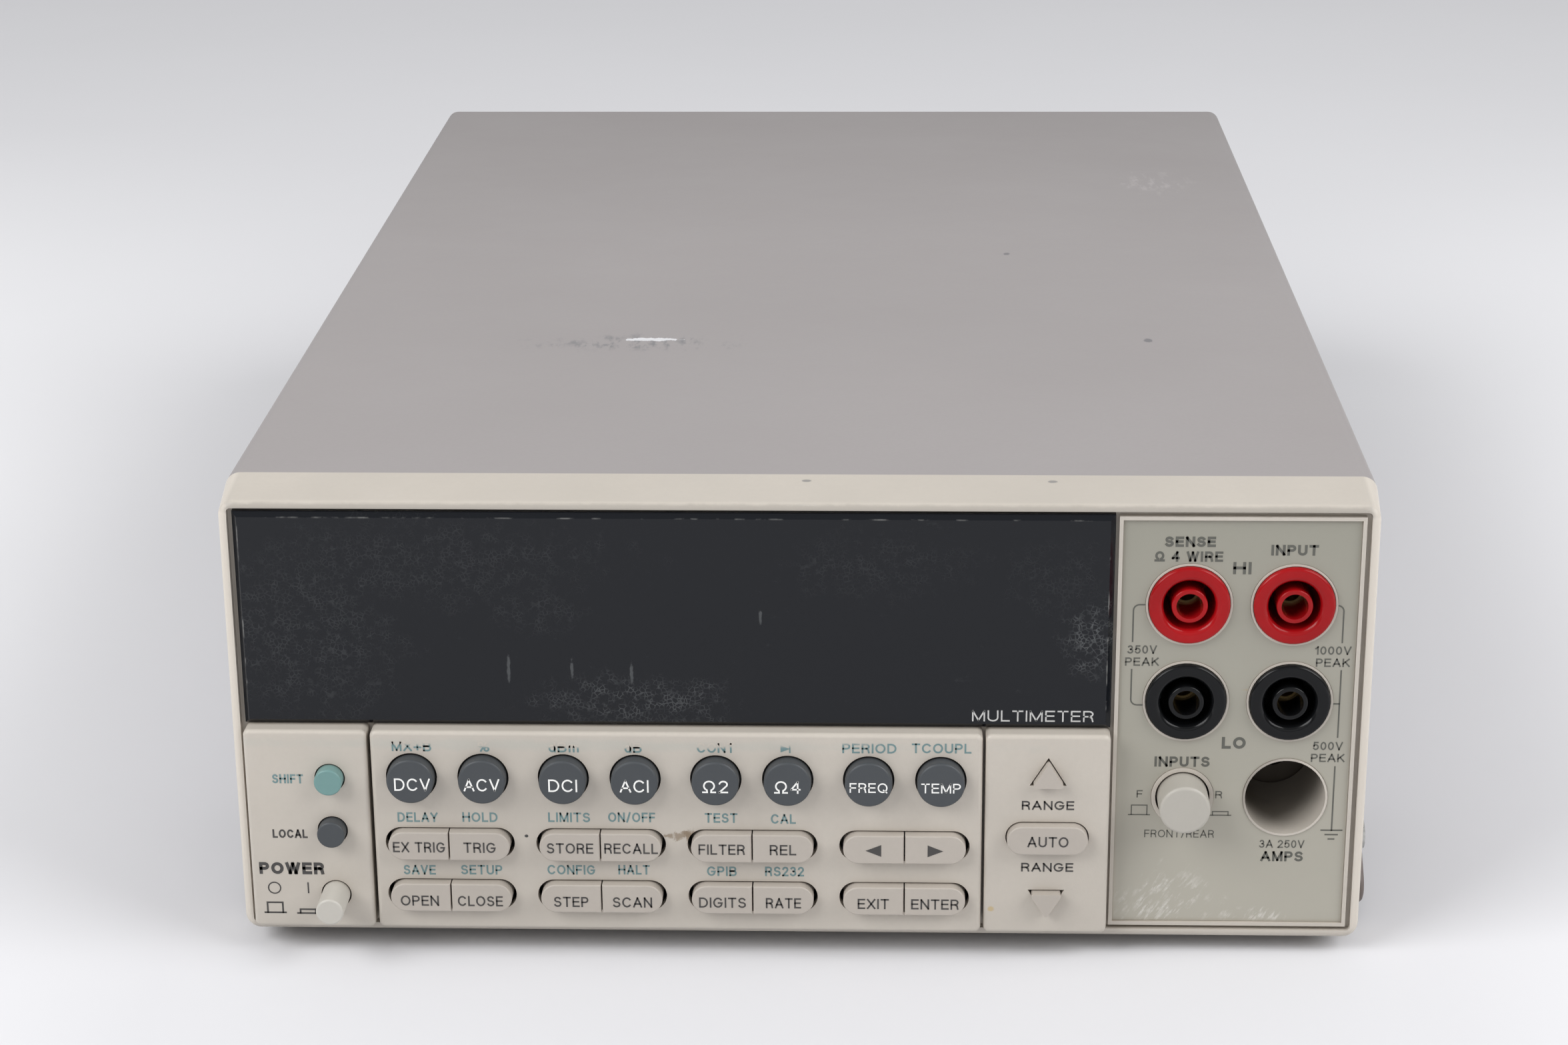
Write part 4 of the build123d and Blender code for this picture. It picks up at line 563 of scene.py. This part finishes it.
class Print:
    """One printed piece: flat shapes a hair thick, all in one ink, riding on one body."""

    def __init__(self, name, body, colour):
        self.name, self.body, self.colour = name, body, colour
        self.mesh = bmesh.new()

    def section(self, outline, depth):
        """Two rows of corners, on the printed face and just under the surface."""
        return [[self.mesh.verts.new(spot(x, depth + lift, z)) for x, z in outline] for lift in (-INK, INK)]

    def stroke(self, points, depth, thick):
        """A line of even width. It closes where it ends at its start, and is cut at very sharp turns."""
        if math.dist(points[0], points[-1]) < 1e-6:
            self.ribbon([Vector(point) for point in points[:-1]], depth, thick, closed=True)
            return
        path = [Vector(point) for point in points]
        run = path[:1]
        for before, corner, after in zip(path, path[1:], path[2:]):
            run.append(corner)
            if (corner - before).normalized().dot((after - corner).normalized()) < SHARP_TURN:
                self.ribbon(run, depth, thick)
                run = [corner]
        self.ribbon(run + path[-1:], depth, thick)

    def ribbon(self, path, depth, thick, closed=False):
        """A strip along a path with mitred corners, and square ends unless it is closed."""
        rings = []
        for index, point in enumerate(path):
            arrive = (point - path[index - 1]).normalized()
            leave = (path[(index + 1) % len(path)] - point).normalized()
            if not closed and index == 0:
                arrive, point = leave, point - leave * thick / 2
            if not closed and index == len(path) - 1:
                leave, point = arrive, point + arrive * thick / 2
            along = (arrive + leave).normalized()
            side = Vector((-along.y, along.x)) * thick / 2 / max(arrive.dot(along), MITRE_LIMIT)
            front, back = self.section([point + side, point - side], depth)
            rings.append([front[0], front[1], back[1], back[0]])
        pairs = list(zip(rings, rings[1:] + rings[:1])) if closed else list(zip(rings, rings[1:]))
        for first, second in pairs:
            for corner in range(4):
                beside = (corner + 1) % 4
                self.mesh.faces.new([first[corner], first[beside], second[beside], second[corner]])
        if not closed:
            self.mesh.faces.new(rings[0])
            self.mesh.faces.new(rings[-1])

    def filled(self, outline, depth):
        """A filled shape through points given as x and height."""
        front, back = self.section(outline, depth)
        self.mesh.faces.new(front)
        self.mesh.faces.new(back)
        for index in range(len(outline)):
            beside = (index + 1) % len(outline)
            self.mesh.faces.new([front[index], front[beside], back[beside], back[index]])

    def words(self, words, x, depth, height, width, tall, thick):
        """Words centred at a place, with their width, capital height and line width in millimetres."""
        natural = sum(GLYPHS[letter][0] for letter in words) + LETTER_GAP * (len(words) - 1)
        scale = (width - thick * len(words)) / natural
        left = x - width / 2 + thick / 2
        foot = height - tall / 2 + thick / 2
        for letter in words:
            advance, strokes = GLYPHS[letter]
            for points in strokes:
                placed = [(left + px * scale, foot + pz * (tall - thick)) for px, pz in points]
                self.stroke(placed, depth, thick)
            left += (advance + LETTER_GAP) * scale + thick

    def push_sign(self, x, foot, high, depth, thick):
        """Sign of a push button standing out, or pressed in when low: a box on a base line."""
        left, right, top = x - SIGN_HALF, x + SIGN_HALF, foot + high
        self.stroke([(left, foot), (left, top), (right, top), (right, foot)], depth, thick)
        self.stroke([(left - SIGN_LEDGE, foot), (right + SIGN_LEDGE, foot)], depth, thick)

    def finish(self):
        bmesh.ops.recalc_face_normals(self.mesh, faces=self.mesh.faces)
        data = bpy.data.meshes.new(self.name)
        self.mesh.to_mesh(data)
        self.mesh.free()
        data.materials.append(inks[self.colour])
        piece = bpy.data.objects.new(self.name, data)
        bpy.context.scene.collection.objects.link(piece)
        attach(piece, self.body)


def print_panel():
    teal = Print("panel_legends_teal", "instrument", "teal")
    for words, x, height, width in (
        ("MX+B", -71.5, 40.9, 7.4), ("%", -58.1, 40.9, 2.2), ("dBm", -43.2, 40.9, 5.6),
        ("dB", -30.3, 40.9, 3.2), ("CONT", -15.0, 41.0, 7.0), ("PERIOD", 13.4, 41.1, 10.0),
        ("TCOUPL", 26.7, 41.2, 11.0), ("DELAY", -71.0, 26.5, 7.55), ("HOLD", -59.3, 26.6, 6.6),
        ("LIMITS", -42.6, 26.7, 7.85), ("ON/OFF", -30.9, 26.8, 8.8), ("TEST", -14.2, 26.8, 6.1),
        ("CAL", -2.6, 26.7, 4.65), ("SAVE", -71.1, 15.65, 6.05), ("SETUP", -59.4, 15.75, 7.8),
        ("CONFIG", -42.5, 15.9, 9.0), ("HALT", -30.7, 16.0, 5.9), ("GPIB", -14.2, 15.85, 5.6),
        ("RS232", -2.45, 15.9, 7.3),
    ):
        teal.words(words, x, PANEL_DEPTH, height, width, 1.95, 0.33)
    teal.words("SHIFT", -95.0, PANEL_DEPTH, 34.15, 5.8, 1.85, 0.34)
    teal.filled([(-3.0, 41.6), (-1.3, 40.9), (-3.0, 40.2)], PANEL_DEPTH)
    teal.stroke([(-1.3, 40.2), (-1.3, 41.6)], PANEL_DEPTH, 0.25)
    teal.finish()
    dark = Print("panel_legends_dark", "instrument", "dark")
    dark.words("LOCAL", -95.2, PANEL_DEPTH, 22.9, 6.6, 1.75, 0.34)
    dark.words("POWER", -95.3, PANEL_DEPTH, 15.75, 12.3, 2.45, 0.62)
    dark.words("RANGE", 46.5, PANEL_DEPTH, 29.85, 9.7, 1.8, 0.31)
    dark.words("RANGE", 46.6, PANEL_DEPTH, 17.2, 9.7, 1.8, 0.31)
    dark.stroke(bow(-98.8, 11.65, 1.15, 1.15, 0, 360), PANEL_DEPTH, 0.24)
    dark.stroke([(-92.4, 12.7), (-92.4, 10.7)], PANEL_DEPTH, 0.27)
    dark.push_sign(-98.9, 6.5, 2.1, PANEL_DEPTH, 0.33)
    dark.push_sign(-92.7, 6.4, 0.8, PANEL_DEPTH, 0.33)
    dark.finish()


def print_key(name, words, shift, width, tall, drop, colour, thick):
    """A legend on a key's face, moved right and down of its middle, which travels with the key."""
    low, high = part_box(f"{name}_key")
    middle = (low.x + high.x) / 2 / MM + shift
    height = ((low.z + high.z) / 2 - CASE_Z) / MM - drop
    legend = Print(f"{name}_legend", f"{name}_key", colour)
    legend.words(words, middle, (low.y - RIM_Y) / MM, height, width, tall, thick)
    legend.finish()


def print_keys():
    for name, words, shift, width, tall, thick in (
        ("dcv", "DCV", 0.45, 6.7, 2.5, 0.30), ("acv", "ACV", 0.0, 6.7, 2.5, 0.30),
        ("dci", "DCI", 0.1, 5.35, 2.5, 0.30), ("aci", "ACI", 0.0, 5.35, 2.5, 0.30),
        ("ohms2", "Ω2", 0.0, 4.8, 2.5, 0.30), ("ohms4", "Ω4", 0.0, 4.9, 2.5, 0.30),
        ("freq", "FREQ", 0.0, 7.0, 1.95, 0.25), ("temp", "TEMP", 0.0, 7.3, 1.95, 0.25),
    ):
        print_key(name, words, shift, width, tall, 0.5, "white", thick)
    for name, words, shift, width, drop in (
        ("ex_trig", "EX TRIG", 0.15, 9.8, 0.15), ("trig", "TRIG", 0.0, 6.05, 0.15),
        ("store", "STORE", 0.1, 8.7, 0.15), ("recall", "RECALL", 0.0, 10.0, 0.1),
        ("filter", "FILTER", 0.1, 8.65, 0.15), ("rel", "REL", 0.0, 4.95, 0.15),
        ("open", "OPEN", -0.2, 7.2, 0.6), ("close", "CLOSE", -0.3, 8.5, 0.6), ("step", "STEP", 0.0, 6.5, 0.6),
        ("scan", "SCAN", 0.0, 7.4, 0.6), ("digits", "DIGITS", 0.1, 8.8, 0.5), ("rate", "RATE", 0.0, 6.6, 0.5),
        ("exit", "EXIT", 0.0, 5.85, 0.5), ("enter", "ENTER", 0.0, 8.9, 0.5), ("auto", "AUTO", 0.1, 7.6, 0.15),
    ):
        print_key(name, words, shift, width, 2.1, drop, "dark", 0.31)
    for name, side in (("cursor_left", -1), ("cursor_right", 1)):
        low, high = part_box(f"{name}_key")
        middle = (low.x + high.x) / 2 / MM
        height = ((low.z + high.z) / 2 - CASE_Z) / MM - 0.15
        tip, back = middle + side * 1.45, middle - side * 1.45
        legend = Print(f"{name}_legend", f"{name}_key", "dark")
        legend.filled([(tip, height), (back, height + 1.2), (back, height - 1.2)], (low.y - RIM_Y) / MM)
        legend.finish()


def print_terminals():
    legend = Print("terminal_legends", "instrument", "grey")
    for words, x, height, width, tall, thick in (
        ("SENSE", 71.4, 80.45, 9.2, 2.0, 0.50), ("Ω 4 WIRE", 71.2, 77.6, 12.4, 2.0, 0.44),
        ("INPUT", 90.3, 78.9, 8.55, 2.05, 0.49), ("HI", 80.95, 75.4, 3.3, 2.35, 0.54),
        ("LO", 80.75, 40.9, 4.4, 2.35, 0.56), ("INPUTS", 71.35, 37.05, 10.2, 2.05, 0.45),
        ("350V", 63.3, 59.4, 5.4, 1.65, 0.28), ("PEAK", 63.35, 57.0, 6.2, 1.65, 0.28),
        ("1000V", 98.15, 59.4, 6.6, 1.65, 0.28), ("PEAK", 98.2, 57.0, 6.2, 1.65, 0.28),
        ("500V", 98.1, 40.4, 5.5, 1.65, 0.27), ("PEAK", 98.2, 38.0, 6.2, 1.65, 0.27),
        ("F", 63.7, 30.45, 1.1, 1.5, 0.22), ("R", 78.4, 30.4, 1.3, 1.5, 0.22),
        ("FRONT/REAR", 71.3, 22.35, 13.0, 1.55, 0.19), ("3A 250V", 90.5, 20.4, 8.4, 1.6, 0.24),
        ("AMPS", 90.6, 17.85, 7.9, 2.05, 0.43),
    ):
        legend.words(words, x, LABEL_DEPTH, height, width, tall, thick)
    thin = 0.28
    round_in = bow(62.6, 67.1, 1.1, 1.1, 90, 180)
    legend.stroke([(64.0, 68.2), *round_in, (61.5, 61.0)], LABEL_DEPTH, thin)
    legend.stroke([(61.5, 55.4), *bow(62.6, 49.5, 1.1, 1.1, 180, 270), (64.0, 48.4)], LABEL_DEPTH, thin)
    legend.stroke([(98.2, 68.2), *bow(98.6, 67.1, 1.1, 1.1, 90, 0), (99.7, 61.0)], LABEL_DEPTH, thin)
    legend.stroke([(99.8, 55.4), (99.8, 42.2)], LABEL_DEPTH, thin)
    legend.stroke([(98.1, 48.85), (99.7, 48.85)], LABEL_DEPTH, thin)
    legend.stroke([(99.6, 36.2), (99.6, 23.3)], LABEL_DEPTH, thin)
    for half, height in ((1.9, 23.3), (1.1, 22.4), (0.5, 21.5)):
        legend.stroke([(99.6 - half, height), (99.6 + half, height)], LABEL_DEPTH, thin)
    legend.push_sign(63.7, 26.2, 1.95, LABEL_DEPTH, 0.2)
    legend.push_sign(78.8, 26.2, 0.75, LABEL_DEPTH, 0.2)
    legend.finish()


def print_lens():
    legend = Print("lens_legend", "instrument", "pale")
    legend.words("MULTIMETER", 43.5, LENS_DEPTH, 46.6, 22.4, 2.2, 0.27)
    legend.finish()


print_panel()
print_keys()
print_terminals()
print_lens()

# ---- studio ----------------------------------------------------------------------------------------
make_camera()
make_world()
make_light("left_box", (-1.00, -0.80, 1.00), (0.0, -0.05, 0.05), (1.0, 0.9), 17.0)
make_light("right_box", (1.05, -0.50, 0.90), (0.0, 0.0, 0.05), (1.0, 0.9), 13.5)
make_light("front_box", (0.05, -1.50, 0.62), (0.0, -0.15, 0.03), (1.6, 0.8), 2.4)

floor = bpy.data.objects.new("floor", bpy.data.meshes.new("floor"))
grid = bmesh.new()
bmesh.ops.create_grid(grid, x_segments=1, y_segments=1, size=6.0)
grid.to_mesh(floor.data)
grid.free()
floor.data.materials.append(floor_surface())
bpy.context.scene.collection.objects.link(floor)

bpy.context.scene.view_settings.view_transform = "Standard"
